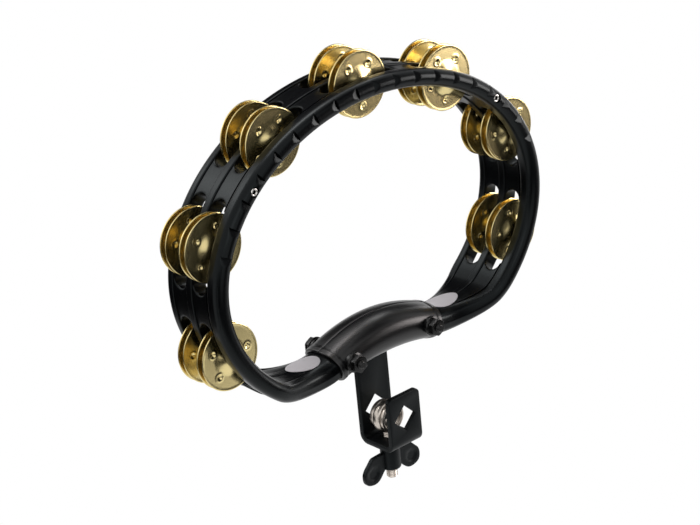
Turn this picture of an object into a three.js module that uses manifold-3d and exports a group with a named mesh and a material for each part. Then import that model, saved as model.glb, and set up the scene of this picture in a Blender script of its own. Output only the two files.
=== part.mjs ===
// A mountable tambourine: an oval three-rail ring with seven pairs of double jingles, a two-part
// grip at the bottom and a steel clamp for a rod below it.
// Millimetres, +Z up. The rod that holds it lies along Y through the origin; players see it from -Y.
import * as THREE from "three";
import { mergeVertices } from "three/addons/utils/BufferGeometryUtils.js";
import Module from "manifold-3d";

// --- Fits ----------------------------------------------------------------------------------
const SEAM = 0.3; // gap between two pieces that rest on each other
const FASTENER_CLEARANCE = 0.3; // all round a bolt, pin or rivet in its hole
const CUT_PAST = 2; // how far a cutter runs past the face it opens

// --- Ring centreline, seen along Y ------------------------------------------------------------
const OVAL_HALF_WIDTH = 140;
const OVAL_HALF_HEIGHT = 105;
const OVAL_RISE = 72.5; // centre of the oval above the crown of the grip
const OVAL_END_ANGLE = THREE.MathUtils.degToRad(45); // below the wide axis, where the lower bends start
const BEND_REACH = 0.42; // reach of a lower bend's handles towards the corner that it rounds
const GRIP_CROWN = 59.1; // crown of the grip's centreline above the rod
const GRIP_RADIUS = 130; // centreline radius of the grip's arch
const GRIP_HALF_LENGTH = 46; // along X

// --- Ring section ------------------------------------------------------------------------------
const JINGLE_SLOT = 13.5; // width of a jingle window, along Y
const FRONT_RAIL = 12.7; // along Y
const MIDDLE_RAIL = 6;
const REAR_RAIL = 7.1;
const RAIL_HALF_HEIGHT = 6; // across the ring
const FRONT_ROUND = 6; // depth of the front rail's half-round face
const CORNER_ROUND = 3.5; // rounded corners of the front rail's back
const REAR_ROUND = 3.5; // and of the rear rail's back
const RAIL_CHAMFER = 0.8;
const WEB_RECESS = 1; // the webs between the windows lie this far below the rails
const RING_STEPS = 60;

// --- Necks, where the three rails run together into the grip ------------------------------------
const NECK_HALF_DEPTH = 16;
const NECK_HALF_HEIGHT = 9.5;
const NECK_ROUNDNESS = 2.6; // exponent of the neck's oval: 2 is an ellipse, more is squarer
const NECK_GAP = 6; // from the end of the last window to where the neck starts to narrow
const NECK_LAND = 12; // full neck outside the grip
const RING_END = 24; // the ring's ends stop this far from the middle, inside the grip

// --- Jingles -----------------------------------------------------------------------------------
const JINGLE_STATIONS = 7;
const JINGLE_PITCH = 78.4; // along the ring
const JINGLE_RADIUS = 22.5;
const JINGLE_WALL = 0.7;
const JINGLE_DOME_RADIUS = 14;
const JINGLE_DOME_RISE = 2.6;
const JINGLE_HOLE_RADIUS = 2;
const JINGLE_RIM_GAP = 4.4; // between the two rims of a pair at rest
const JINGLE_END_GAP = 7; // from a jingle's rim to the end of its window
const PIN_RADIUS = 1.5;
const PIN_SEAT = 5; // depth of the pin in the front and rear rails

// --- Notches along the upper part of the front rail, to scrape with a stick --------------------------
const NOTCH_PITCH = 18;
const NOTCHES_EACH_SIDE = 9; // and one at the top
const NOTCH_DEPTH = 1.5;
const NOTCH_LENGTH = 5;
const NOTCH_TILT = THREE.MathUtils.degToRad(15); // their middle lies this far outwards of the front

// --- Rivets through the front rail --------------------------------------------------------------
const RIVET_STATION = 115.4; // between two windows, from the top
const RIVET_RADIUS = 2;
const RIVET_HEAD_RADIUS = 2.8;
const RIVET_HEAD = 0.8;
const RIVET_BORE_RADIUS = 1.3;
const RIVET_SINK = 0.8; // the head lies below the rail's face
const RIVET_LENGTH = 20;

// --- Grip shells ---------------------------------------------------------------------------------
const SHELL_WALL = 2;
const SHELL_FIT = 0.45; // between the neck and a shell
const SHELL_CROWN_EXTRA = 2.5; // the grip is this much taller above and below in the middle
const SHELL_ROUNDNESS = 2.8;
const SHELL_STEPS = 12;
const SHELL_POINTS = 16; // round the outside of a shell's section
const SHELL_INNER_POINTS = 20;
const LIP = 0.8; // the ends flare by this much
const BOLT_SPACING = 72;
const BOLT_RISE = 0.8; // above the grip's centreline
const BOLT_SEAT_RADIUS = 8.4;
const BOLT_SEAT_PROUD = 1; // round seats for nut and bolt head stand out past the flared lips

// --- Fasteners of the grip (M6) --------------------------------------------------------------------
const BOLT_RADIUS = 3;
const HEX_RADIUS = 5.77; // corner radius of a 10 mm hexagon
const BOLT_HEAD = 5;
const BOLT_END = 2.2; // thread past the nut
const NUT_HEIGHT = 6;
const FLANGE_RADIUS = 7.1;
const FLANGE = 1.3;

// --- Clamp ------------------------------------------------------------------------------------------
const STRAP = 4; // steel thickness
const STRAP_WIDTH = 28.5;
const STRAP_BEND = 3; // inside radius of the bends
const STRAP_Y = 2; // front face of the rear leg
const CLAMP_GAP = 25.4; // between the legs
const CLAMP_FLOOR = -19; // top of the clamp's floor below the rod's axis
const FRONT_LEG_TOP = 18;
const LEG_CORNER = 4;
const ROD_HOLE_SIDE = 13.9; // square hole, standing on its corner
const PLATE_HALF_LENGTH = 42; // crossbar of the strap inside the grip
const PLATE_HALF_HEIGHT = 6;

// --- Eye bolt (M8) and wing nut ----------------------------------------------------------------------
const EYE_RADIUS = 12;
const EYE_HOLE_RADIUS = 7.9;
const EYE_HALF_WIDTH = 6.5;
const EYE_BACK_GAP = 3.1; // from the eye to the rear leg
const EYE_DROP = 4; // the clamped eye sits this far below the rod holes' centre
const EYE_COLLAR_RADIUS = 10.2; // turned-down rear end of the eye
const EYE_COLLAR = 3;
const SHANK_RADIUS = 4;
const SHANK_PAST_NUT = 7.2;
const WING_BARREL_RADIUS = 7.1;
const WING_BARREL = 21;
const WING_THICKNESS = 3.4;
const WING_RADIUS = 8;
const WING_LOBE_X = 18; // middle of a wing's lobe from the axis
const WING_LOBE_DROP = 19; // and below the nut's top
const WING_ROOT_DROP = 7; // upper edge of a wing where it leaves the barrel

// --- Blank labels on the necks --------------------------------------------------------------------
const LABEL_LENGTH = 30;
const LABEL_WIDTH = 18;
const LABEL_THICKNESS = 0.4;
const LABEL_FROM_GRIP = 5;
const LABEL_LIFT = 0.5; // the glue line
const LABEL_STEPS = 8;

// --- Derived places ---------------------------------------------------------------------------------
const SLOT_FROM_MIDDLE = MIDDLE_RAIL / 2; // near side of each row of windows
const ROW_Y = SLOT_FROM_MIDDLE + JINGLE_SLOT / 2; // middle of each row, before and behind
const RAIL_FROM_MIDDLE = SLOT_FROM_MIDDLE + JINGLE_SLOT;
const FRONT_FACE = -(RAIL_FROM_MIDDLE + FRONT_RAIL);
const REAR_FACE = RAIL_FROM_MIDDLE + REAR_RAIL;
const NECK_Y = (FRONT_FACE + REAR_FACE) / 2; // middle of the neck and of the grip, in depth
const OVAL_Z = GRIP_CROWN + OVAL_RISE;
const WINDOW_HALF_LENGTH = JINGLE_RADIUS + JINGLE_END_GAP;
const EYE_Y = STRAP_Y - EYE_BACK_GAP - EYE_HALF_WIDTH; // axis of shank and wing nut
const wingTop = CLAMP_FLOOR - STRAP - SEAM;
const SHELL_HALF_DEPTH = NECK_HALF_DEPTH + SHELL_FIT + SHELL_WALL;
const SHELL_HALF_HEIGHT = NECK_HALF_HEIGHT + SHELL_FIT + SHELL_WALL;
const seatDepth = SHELL_HALF_DEPTH + BOLT_SEAT_PROUD;

const wasm = await Module();
wasm.setup();

// --- Solids ----------------------------------------------------------------------------------------

function solid(geometry) {
  const bare = geometry.clone();
  bare.deleteAttribute("normal");
  bare.deleteAttribute("uv");
  const merged = mergeVertices(bare, 1e-4);
  return new wasm.Manifold(
    new wasm.Mesh({
      numProp: 3,
      vertProperties: merged.attributes.position.array,
      triVerts: new Uint32Array(merged.index.array),
    }),
  );
}

function geometryOf(shape) {
  const { vertProperties, triVerts } = shape.getMesh();
  const geometry = new THREE.BufferGeometry();
  geometry.setAttribute("position", new THREE.BufferAttribute(vertProperties, 3));
  geometry.setIndex(new THREE.BufferAttribute(triVerts, 1));
  geometry.computeVertexNormals();
  return geometry;
}

function cut(shape, cutters) {
  return cutters.reduce((rest, cutter) => rest.subtract(solid(cutter)), shape);
}

// A cylinder along Y from one depth to another.
function rodAlongY(radius, fromY, toY, x, z, sides = 16) {
  const rod = new THREE.CylinderGeometry(radius, radius, toY - fromY, sides);
  return rod.translate(x, (fromY + toY) / 2, z);
}

// An upright cylinder from one height to another.
function rodAlongZ(radius, fromZ, toZ, sides = 16) {
  const rod = new THREE.CylinderGeometry(radius, radius, toZ - fromZ, sides);
  return rod.rotateX(Math.PI / 2).translate(0, 0, (fromZ + toZ) / 2);
}

function box(fromX, toX, fromY, toY, fromZ, toZ) {
  const geometry = new THREE.BoxGeometry(toX - fromX, toY - fromY, toZ - fromZ);
  return geometry.translate((fromX + toX) / 2, (fromY + toY) / 2, (fromZ + toZ) / 2);
}

// A flat outline drawn in X and Z, with its thickness from one depth to another.
function plate(outline, fromY, toY, curveSegments = 4) {
  const geometry = new THREE.ExtrudeGeometry(outline, {
    depth: toY - fromY,
    bevelEnabled: false,
    curveSegments,
  });
  return geometry.rotateX(Math.PI / 2).translate(0, toY, 0);
}

// --- Centrelines --------------------------------------------------------------------------------------

// A flat curve of X and Z, standing in the middle plane of the ring.
class StandingCurve extends THREE.Curve {
  constructor(outline) {
    super();
    this.outline = outline;
    this.arcLengthDivisions = 800;
  }
  getPoint(t, target = new THREE.Vector3()) {
    const p = this.outline.getPoint(t);
    return target.set(p.x, 0, p.y);
  }
}

const gripCentre = new THREE.Vector2(0, GRIP_CROWN - GRIP_RADIUS);
const gripAngle = (x) => Math.asin(x / GRIP_RADIUS);

function gripPoint(x) {
  const angle = gripAngle(x);
  return new THREE.Vector2(x, gripCentre.y + GRIP_RADIUS * Math.cos(angle));
}

const boltZ = gripPoint(BOLT_SPACING / 2).y + BOLT_RISE;

// Where two straight lines meet, each given by a point and a direction.
function crossing(p, pDirection, q, qDirection) {
  const across = q.clone().sub(p);
  const along = across.cross(qDirection) / pDirection.cross(qDirection);
  return p.clone().addScaledVector(pDirection, along);
}

function ringOutline() {
  const endAngle = gripAngle(GRIP_HALF_LENGTH);
  const innerAngle = gripAngle(RING_END);
  const gripEnd = gripPoint(GRIP_HALF_LENGTH);
  const ovalEnd = new THREE.Vector2(
    OVAL_HALF_WIDTH * Math.cos(OVAL_END_ANGLE),
    OVAL_Z - OVAL_HALF_HEIGHT * Math.sin(OVAL_END_ANGLE),
  );
  const gripDirection = new THREE.Vector2(Math.cos(endAngle), -Math.sin(endAngle));
  const ovalDirection = new THREE.Vector2(
    -OVAL_HALF_WIDTH * Math.sin(OVAL_END_ANGLE),
    -OVAL_HALF_HEIGHT * Math.cos(OVAL_END_ANGLE),
  );
  const corner = crossing(gripEnd, gripDirection, ovalEnd, ovalDirection);
  const fromGrip = gripEnd.clone().lerp(corner, BEND_REACH);
  const fromOval = ovalEnd.clone().lerp(corner, BEND_REACH);
  const up = Math.PI / 2;

  const outline = new THREE.Path();
  outline.absarc(0, gripCentre.y, GRIP_RADIUS, up + innerAngle, up + endAngle, false);
  outline.bezierCurveTo(-fromGrip.x, fromGrip.y, -fromOval.x, fromOval.y, -ovalEnd.x, ovalEnd.y);
  outline.absellipse(
    0,
    OVAL_Z,
    OVAL_HALF_WIDTH,
    OVAL_HALF_HEIGHT,
    Math.PI + OVAL_END_ANGLE,
    -OVAL_END_ANGLE,
    true,
  );
  outline.bezierCurveTo(fromOval.x, fromOval.y, fromGrip.x, fromGrip.y, gripEnd.x, gripEnd.y);
  outline.absarc(0, gripCentre.y, GRIP_RADIUS, up - endAngle, up - innerAngle, false);
  return outline;
}

const ringCurve = new StandingCurve(ringOutline());
const ringLength = ringCurve.getLength();
const neckOutside = ringLength / 2 - (GRIP_HALF_LENGTH - RING_END) - NECK_LAND;
const lastWindowEnd = ((JINGLE_STATIONS - 1) / 2) * JINGLE_PITCH + WINDOW_HALF_LENGTH;

// Stands a piece on the ring: X along it, Y in depth, Z outwards; the station counts from the top.
function stationMatrix(station) {
  const t = 0.5 + station / ringLength;
  const point = ringCurve.getPointAt(t);
  const along = ringCurve.getTangentAt(t).normalize();
  const depth = new THREE.Vector3(0, 1, 0);
  const outwards = new THREE.Vector3().crossVectors(along, depth);
  return new THREE.Matrix4().makeBasis(along, depth, outwards).setPosition(point);
}

// --- Ring mouldings -------------------------------------------------------------------------------------

// The neck's half height at a depth that is given as a share of its half depth.
function neckHalfHeight(share) {
  const rest = Math.max(0, 1 - Math.abs(share) ** NECK_ROUNDNESS);
  return NECK_HALF_HEIGHT * rest ** (1 / NECK_ROUNDNESS);
}

// How far the ring has become a neck at a station: 0 at the windows, 1 at the grip.
function neckShare(station) {
  return THREE.MathUtils.smoothstep(Math.abs(station), lastWindowEnd + NECK_GAP, neckOutside);
}

// Half depth of the whole ring where it has become a neck by the given share.
const halfDepthAt = (share) =>
  THREE.MathUtils.lerp((REAR_FACE - FRONT_FACE) / 2, NECK_HALF_DEPTH, share);

// Half height of the ring's upper face at a depth that is counted from the neck's middle.
function halfHeightAt(share, depth) {
  return THREE.MathUtils.lerp(RAIL_HALF_HEIGHT, neckHalfHeight(depth / halfDepthAt(share)), share);
}

// Moves each vertex of a swept body within the section that it belongs to.
function reshape(geometry, stations, change) {
  const sections = stations.map((station) => {
    const matrix = stationMatrix(station);
    return { station, matrix, inverse: matrix.clone().invert() };
  });
  const position = geometry.attributes.position;
  const vertex = new THREE.Vector3();
  const local = new THREE.Vector3();
  const offPlane = (section) => {
    local.copy(vertex).applyMatrix4(section.inverse);
    return local.length() + 100 * Math.abs(local.x);
  };
  for (let i = 0; i < position.count; i++) {
    vertex.fromBufferAttribute(position, i);
    const own = sections.reduce((best, section) => (offPlane(section) < offPlane(best) ? section : best));
    local.copy(vertex).applyMatrix4(own.inverse);
    change(local, own.station);
    local.applyMatrix4(own.matrix);
    position.setXYZ(i, local.x, local.y, local.z);
  }
  return geometry;
}

// Evenly spaced stations, as a sweep in that many steps has them.
function sweepStations(from, to, steps) {
  return Array.from({ length: steps + 1 }, (_, i) => from + ((to - from) * i) / steps);
}

// Draws a point of the ring's section in towards the neck's oval.
function drawIn(local, station) {
  const share = neckShare(station);
  const depthShare = (local.y - NECK_Y) / halfDepthAt(0);
  const neckZ = Math.sign(Math.round(local.z * 100)) * neckHalfHeight(depthShare);
  local.y = NECK_Y + depthShare * halfDepthAt(share);
  local.z = THREE.MathUtils.lerp(local.z, neckZ, share);
}

// Sweeps a section round the ring. Its outline is drawn with X to the front and Y inwards.
function sweepRing(section) {
  const geometry = new THREE.ExtrudeGeometry(section, {
    steps: RING_STEPS,
    extrudePath: ringCurve,
    curveSegments: 3,
  });
  const stations = sweepStations(-ringLength / 2, ringLength / 2, RING_STEPS);
  return solid(reshape(geometry, stations, drawIn));
}

// The front rail: half an ellipse to the front, two rounded corners towards the windows.
function frontRailSection() {
  const top = RAIL_HALF_HEIGHT;
  const back = RAIL_FROM_MIDDLE;
  const roundFrom = -FRONT_FACE - FRONT_ROUND;
  const shape = new THREE.Shape();
  shape.moveTo(back, -top + CORNER_ROUND);
  shape.quadraticCurveTo(back, -top, back + CORNER_ROUND, -top);
  shape.absellipse(roundFrom, 0, FRONT_ROUND, top, -Math.PI / 2, Math.PI / 2, false);
  shape.lineTo(back + CORNER_ROUND, top);
  shape.quadraticCurveTo(back, top, back, top - CORNER_ROUND);
  return shape;
}

// The middle rail with the webs that reach forward to the front rail.
function middleRailSection() {
  const web = RAIL_HALF_HEIGHT - WEB_RECESS;
  const front = RAIL_FROM_MIDDLE - SEAM;
  const side = MIDDLE_RAIL / 2;
  const crown = side - RAIL_CHAMFER;
  const half = [
    [-side, RAIL_HALF_HEIGHT - RAIL_CHAMFER],
    [-crown, RAIL_HALF_HEIGHT],
    [crown, RAIL_HALF_HEIGHT],
    [side, RAIL_HALF_HEIGHT - RAIL_CHAMFER],
    [side, web],
    [front, web],
  ];
  return closedSection(half);
}

// The rear rail, rounded to the rear, with the webs that reach forward to the middle rail.
function rearRailSection() {
  const web = RAIL_HALF_HEIGHT - WEB_RECESS;
  const top = RAIL_HALF_HEIGHT;
  const back = -REAR_FACE;
  const shape = new THREE.Shape();
  shape.moveTo(back + REAR_ROUND, top);
  shape.quadraticCurveTo(back, top, back, top - REAR_ROUND);
  shape.lineTo(back, -top + REAR_ROUND);
  shape.quadraticCurveTo(back, -top, back + REAR_ROUND, -top);
  shape.lineTo(-RAIL_FROM_MIDDLE - RAIL_CHAMFER, -top);
  shape.lineTo(-RAIL_FROM_MIDDLE, -RAIL_HALF_HEIGHT + RAIL_CHAMFER);
  shape.lineTo(-RAIL_FROM_MIDDLE, -web);
  shape.lineTo(-SLOT_FROM_MIDDLE - SEAM, -web);
  shape.lineTo(-SLOT_FROM_MIDDLE - SEAM, web);
  shape.lineTo(-RAIL_FROM_MIDDLE, web);
  shape.lineTo(-RAIL_FROM_MIDDLE, RAIL_HALF_HEIGHT - RAIL_CHAMFER);
  shape.lineTo(-RAIL_FROM_MIDDLE - RAIL_CHAMFER, RAIL_HALF_HEIGHT);
  return shape;
}

// A section from its upper half, from rear to front, mirrored to close it.
function closedSection(half) {
  const upper = half.map(([x, y]) => new THREE.Vector2(x, y)).reverse();
  const lower = half.map(([x, y]) => new THREE.Vector2(x, -y));
  return new THREE.Shape([...upper, ...lower]);
}

const jingleStations = Array.from(
  { length: JINGLE_STATIONS },
  (_, i) => (i - (JINGLE_STATIONS - 1) / 2) * JINGLE_PITCH,
);

// A window with round ends through the ring, in the row at the given depth.
function windowCutter(station, rowY) {
  const radius = JINGLE_SLOT / 2;
  const straight = WINDOW_HALF_LENGTH - radius;
  const outline = new THREE.Shape();
  outline.absarc(straight, 0, radius, -Math.PI / 2, Math.PI / 2, false);
  outline.absarc(-straight, 0, radius, Math.PI / 2, (3 * Math.PI) / 2, false);
  const depth = 2 * (RAIL_HALF_HEIGHT + CUT_PAST + WINDOW_HALF_LENGTH ** 2 / (2 * OVAL_HALF_HEIGHT));
  const cutter = new THREE.ExtrudeGeometry(outline, { depth, bevelEnabled: false, curveSegments: 3 });
  return cutter.translate(0, rowY, -depth / 2).applyMatrix4(stationMatrix(station));
}

// A bore along Y through the ring, at a station on its centreline.
function ringBore(station, radius, fromY, toY, sides = 12) {
  return rodAlongY(radius, fromY, toY, 0, 0, sides).applyMatrix4(stationMatrix(station));
}

const pinBoreRadius = PIN_RADIUS + FASTENER_CLEARANCE;
const pinBoreEnd = RAIL_FROM_MIDDLE + PIN_SEAT + SEAM;
const boltBoreRadius = BOLT_RADIUS + FASTENER_CLEARANCE;
const rivetBoreRadius = RIVET_RADIUS + FASTENER_CLEARANCE;
const rivetFaceY = FRONT_FACE + RIVET_SINK;
const rivetEndY = rivetFaceY + RIVET_LENGTH;

function boltBores() {
  return [-1, 1].map((side) =>
    rodAlongY(boltBoreRadius, FRONT_FACE, REAR_FACE, (side * BOLT_SPACING) / 2, boltZ),
  );
}

function rivetBores() {
  const end = rivetEndY + SEAM;
  return [-1, 1].flatMap((side) => [
    ringBore(side * RIVET_STATION, rivetBoreRadius, FRONT_FACE - CUT_PAST, end),
    ringBore(
      side * RIVET_STATION,
      RIVET_HEAD_RADIUS + FASTENER_CLEARANCE,
      FRONT_FACE - CUT_PAST,
      rivetFaceY + RIVET_HEAD + SEAM,
    ),
  ]);
}

// The crossbar of the strap, as high as given, following the grip's arch.
function crossbarOutline(halfLength, halfHeight) {
  const angle = gripAngle(halfLength);
  const up = Math.PI / 2;
  const outline = new THREE.Shape();
  outline.absarc(0, gripCentre.y, GRIP_RADIUS + halfHeight, up - angle, up + angle, false);
  outline.absarc(0, gripCentre.y, GRIP_RADIUS - halfHeight, up + angle, up - angle, true);
  return outline;
}

function crossbarPocket() {
  return plate(
    crossbarOutline(PLATE_HALF_LENGTH + SEAM, PLATE_HALF_HEIGHT + SEAM),
    STRAP_Y - SEAM,
    STRAP_Y + STRAP + SEAM,
  );
}

// A wedge for one notch across the front rail's face: steep towards the top, running out away from it.
function notchCutter(station) {
  const side = Math.sign(station) || 1;
  const reach = RAIL_HALF_HEIGHT * 1.6;
  const outline = new THREE.Shape();
  outline.moveTo(0, 0);
  outline.lineTo(side * NOTCH_LENGTH, NOTCH_DEPTH);
  outline.lineTo(side * NOTCH_LENGTH, NOTCH_DEPTH + CUT_PAST);
  outline.lineTo(0, NOTCH_DEPTH + CUT_PAST);
  const wedge = new THREE.ExtrudeGeometry(outline, { depth: 2 * reach, bevelEnabled: false });
  wedge.translate((-side * NOTCH_LENGTH) / 2, FRONT_ROUND - NOTCH_DEPTH, -reach);
  wedge.rotateX(Math.PI - NOTCH_TILT).translate(0, FRONT_FACE + FRONT_ROUND, 0);
  return wedge.applyMatrix4(stationMatrix(station));
}

const notchStations = Array.from(
  { length: 2 * NOTCHES_EACH_SIDE + 1 },
  (_, i) => (i - NOTCHES_EACH_SIDE) * NOTCH_PITCH,
);

function frontRing() {
  const pinBores = jingleStations.map((s) =>
    ringBore(s, pinBoreRadius, -pinBoreEnd, -RAIL_FROM_MIDDLE + CUT_PAST),
  );
  return cut(sweepRing(frontRailSection()), [
    ...notchStations.map(notchCutter),
    ...pinBores,
    ...rivetBores(),
    ...boltBores(),
  ]);
}

function middleRing() {
  const pinBores = jingleStations.map((s) =>
    ringBore(s, pinBoreRadius, -SLOT_FROM_MIDDLE - CUT_PAST, SLOT_FROM_MIDDLE + CUT_PAST),
  );
  return cut(sweepRing(middleRailSection()), [
    ...jingleStations.map((s) => windowCutter(s, -ROW_Y)),
    ...pinBores,
    ...rivetBores(),
    ...boltBores(),
    crossbarPocket(),
  ]);
}

function rearRing() {
  const pinBores = jingleStations.map((s) =>
    ringBore(s, pinBoreRadius, RAIL_FROM_MIDDLE - CUT_PAST, pinBoreEnd),
  );
  return cut(sweepRing(rearRailSection()), [
    ...jingleStations.map((s) => windowCutter(s, ROW_Y)),
    ...pinBores,
    ...boltBores(),
    crossbarPocket(),
  ]);
}

// --- Jingles and their pins ---------------------------------------------------------------------------

// A jingle about the Y axis, rim at y = 0 and dome towards -Y.
function jingleGeometry() {
  const top = -JINGLE_DOME_RISE;
  const half = JINGLE_WALL / 2;
  const profile = [
    [JINGLE_HOLE_RADIUS, top + half],
    [JINGLE_DOME_RADIUS, half],
    [JINGLE_RADIUS, half],
    [JINGLE_RADIUS, -half],
    [JINGLE_DOME_RADIUS, -half],
    [JINGLE_HOLE_RADIUS, top - half],
  ].map(([r, y]) => new THREE.Vector2(r, y));
  profile.push(profile[0].clone());
  profile.reverse();
  return new THREE.LatheGeometry(profile, 16);
}

function pinGeometry() {
  const end = RAIL_FROM_MIDDLE + PIN_SEAT;
  return rodAlongY(PIN_RADIUS, -end, end, 0, 0, 12);
}

// --- Grip ------------------------------------------------------------------------------------------------

function gripArch(halfLength) {
  const up = Math.PI / 2;
  const angle = gripAngle(halfLength);
  const outline = new THREE.Path();
  outline.absarc(0, gripCentre.y, GRIP_RADIUS, up + angle, up - angle, true);
  return new StandingCurve(outline);
}

// An oval section, X to the front and Y inwards.
function ovalSection(halfDepth, halfHeight, roundness, points) {
  const outline = [];
  for (let i = 0; i < points; i++) {
    const angle = (2 * Math.PI * i) / points;
    const c = Math.cos(angle);
    const s = Math.sin(angle);
    outline.push(
      new THREE.Vector2(
        halfDepth * Math.sign(c) * Math.abs(c) ** (2 / roundness),
        halfHeight * Math.sign(s) * Math.abs(s) ** (2 / roundness),
      ),
    );
  }
  return new THREE.Shape(outline);
}

// Swells the grip towards its middle and flares its ends.
function swellGrip(geometry) {
  const position = geometry.attributes.position;
  const middle = new THREE.Vector3(0, 0, gripCentre.y);
  const vertex = new THREE.Vector3();
  for (let i = 0; i < position.count; i++) {
    vertex.fromBufferAttribute(position, i).sub(middle);
    const along = Math.abs(Math.atan2(vertex.x, vertex.z)) / gripAngle(GRIP_HALF_LENGTH);
    const swell = SHELL_CROWN_EXTRA * Math.cos((Math.min(along, 1) * Math.PI) / 2);
    const flare = along > 1 - 1.5 / SHELL_STEPS ? LIP : 0;
    const rise = Math.hypot(vertex.x, vertex.z) - GRIP_RADIUS;
    const grown = rise * (1 + (swell + flare) / SHELL_HALF_HEIGHT);
    vertex.multiplyScalar((GRIP_RADIUS + grown) / (GRIP_RADIUS + rise)).setY(
      position.getY(i) * (1 + flare / SHELL_HALF_DEPTH),
    );
    vertex.add(middle);
    position.setXYZ(i, vertex.x, vertex.y, vertex.z);
  }
  return geometry;
}

function gripShell(side) {
  const outer = new THREE.ExtrudeGeometry(
    ovalSection(SHELL_HALF_DEPTH, SHELL_HALF_HEIGHT, SHELL_ROUNDNESS, SHELL_POINTS),
    { steps: SHELL_STEPS, extrudePath: gripArch(GRIP_HALF_LENGTH) },
  );
  const inner = new THREE.ExtrudeGeometry(
    ovalSection(
      NECK_HALF_DEPTH + SHELL_FIT,
      NECK_HALF_HEIGHT + SHELL_FIT,
      NECK_ROUNDNESS,
      SHELL_INNER_POINTS,
    ),
    { steps: SHELL_STEPS, extrudePath: gripArch(GRIP_HALF_LENGTH + 2 * CUT_PAST) },
  );
  let shape = solid(swellGrip(outer).translate(0, NECK_Y, 0));
  for (const x of [-BOLT_SPACING / 2, BOLT_SPACING / 2]) {
    const seat = rodAlongY(BOLT_SEAT_RADIUS, NECK_Y - seatDepth, NECK_Y + seatDepth, x, boltZ);
    shape = shape.add(solid(seat));
  }
  const far = GRIP_RADIUS;
  const [keepFrom, keepTo] =
    side < 0 ? [-far, NECK_Y - SEAM / 2] : [NECK_Y + SEAM / 2, far];
  shape = shape.intersect(solid(box(-far, far, keepFrom, keepTo, 0, far)));
  const strapHalf = STRAP_WIDTH / 2 + SEAM;
  return cut(shape, [
    inner.translate(0, NECK_Y, 0),
    ...boltBores(),
    box(-strapHalf, strapHalf, STRAP_Y - SEAM, STRAP_Y + STRAP + SEAM, 0, GRIP_CROWN),
  ]);
}

// --- Fasteners of the grip ----------------------------------------------------------------------------------

// A hexagon along Y with its flange at its foot; the foot lies at fromY and the crown at toY.
function flangedHex(fromY, toY) {
  const outwards = Math.sign(toY - fromY);
  const flangeEnd = fromY + outwards * FLANGE;
  const hex = rodAlongY(HEX_RADIUS, Math.min(fromY, toY), Math.max(fromY, toY), 0, 0, 6);
  const flange = rodAlongY(
    FLANGE_RADIUS,
    Math.min(fromY, flangeEnd),
    Math.max(fromY, flangeEnd),
    0,
    0,
    20,
  );
  return solid(hex).add(solid(flange));
}

const seatY = seatDepth + SEAM;

function shellBolt() {
  const end = -(seatY + NUT_HEIGHT + BOLT_END);
  const shaft = rodAlongY(BOLT_RADIUS, end, seatY + FLANGE, 0, 0);
  return flangedHex(seatY, seatY + BOLT_HEAD).add(solid(shaft));
}

function flangeNut() {
  const top = -(seatY + NUT_HEIGHT);
  return cut(flangedHex(-seatY, top), [
    rodAlongY(boltBoreRadius, top - CUT_PAST, -seatY + CUT_PAST, 0, 0),
  ]);
}

// --- Rivets and labels -------------------------------------------------------------------------------------

function rivetGeometry() {
  const neck = RIVET_HEAD;
  const profile = [
    [RIVET_BORE_RADIUS, 0],
    [RIVET_HEAD_RADIUS, 0],
    [RIVET_HEAD_RADIUS, neck],
    [RIVET_RADIUS, neck],
    [RIVET_RADIUS, RIVET_LENGTH],
    [RIVET_BORE_RADIUS, RIVET_LENGTH],
    [RIVET_BORE_RADIUS, 0],
  ].map(([r, y]) => new THREE.Vector2(r, y));
  return new THREE.LatheGeometry(profile, 12).translate(0, rivetFaceY, 0);
}

// A part of the ring's centreline between two stations.
class RingStretch extends THREE.Curve {
  constructor(from, to) {
    super();
    this.from = 0.5 + from / ringLength;
    this.to = 0.5 + to / ringLength;
  }
  getPoint(t, target = new THREE.Vector3()) {
    return target.copy(ringCurve.getPointAt(THREE.MathUtils.lerp(this.from, this.to, t)));
  }
}

// An oval label on the neck's upper face, a little fuller towards the grip, bent with the neck.
function labelGeometry(side) {
  const grip = ringLength / 2 - (GRIP_HALF_LENGTH - RING_END) - LABEL_FROM_GRIP;
  const from = side > 0 ? grip - LABEL_LENGTH : -grip;
  const to = from + LABEL_LENGTH;
  const across = [-1, 0, 1];
  const upper = across.map((x) => new THREE.Vector2(x, 1));
  const lower = across.map((x) => new THREE.Vector2(x, 0));
  const geometry = new THREE.ExtrudeGeometry(new THREE.Shape([...lower, ...upper.reverse()]), {
    steps: LABEL_STEPS,
    extrudePath: new RingStretch(from, to),
  });
  return reshape(geometry, sweepStations(from, to, LABEL_STEPS), (local, station) => {
    const fromGrip = THREE.MathUtils.clamp((grip - Math.abs(station)) / LABEL_LENGTH, 0, 1);
    const width = Math.max(0.15, Math.sin(Math.PI * fromGrip ** 0.8) ** 0.55);
    const share = neckShare(station);
    const lift = LABEL_LIFT - local.z * LABEL_THICKNESS;
    local.y *= (width * LABEL_WIDTH) / 2;
    local.z = -halfHeightAt(share, local.y) - lift;
    local.y += NECK_Y;
  });
}

// --- Clamp ----------------------------------------------------------------------------------------------------

// A square hole standing on its corner, through a leg of the clamp.
function rodHole(fromY, toY) {
  const side = ROD_HOLE_SIDE;
  const hole = new THREE.BoxGeometry(side, toY - fromY, side);
  return hole.rotateY(Math.PI / 4).translate(0, (fromY + toY) / 2, 0);
}

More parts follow.
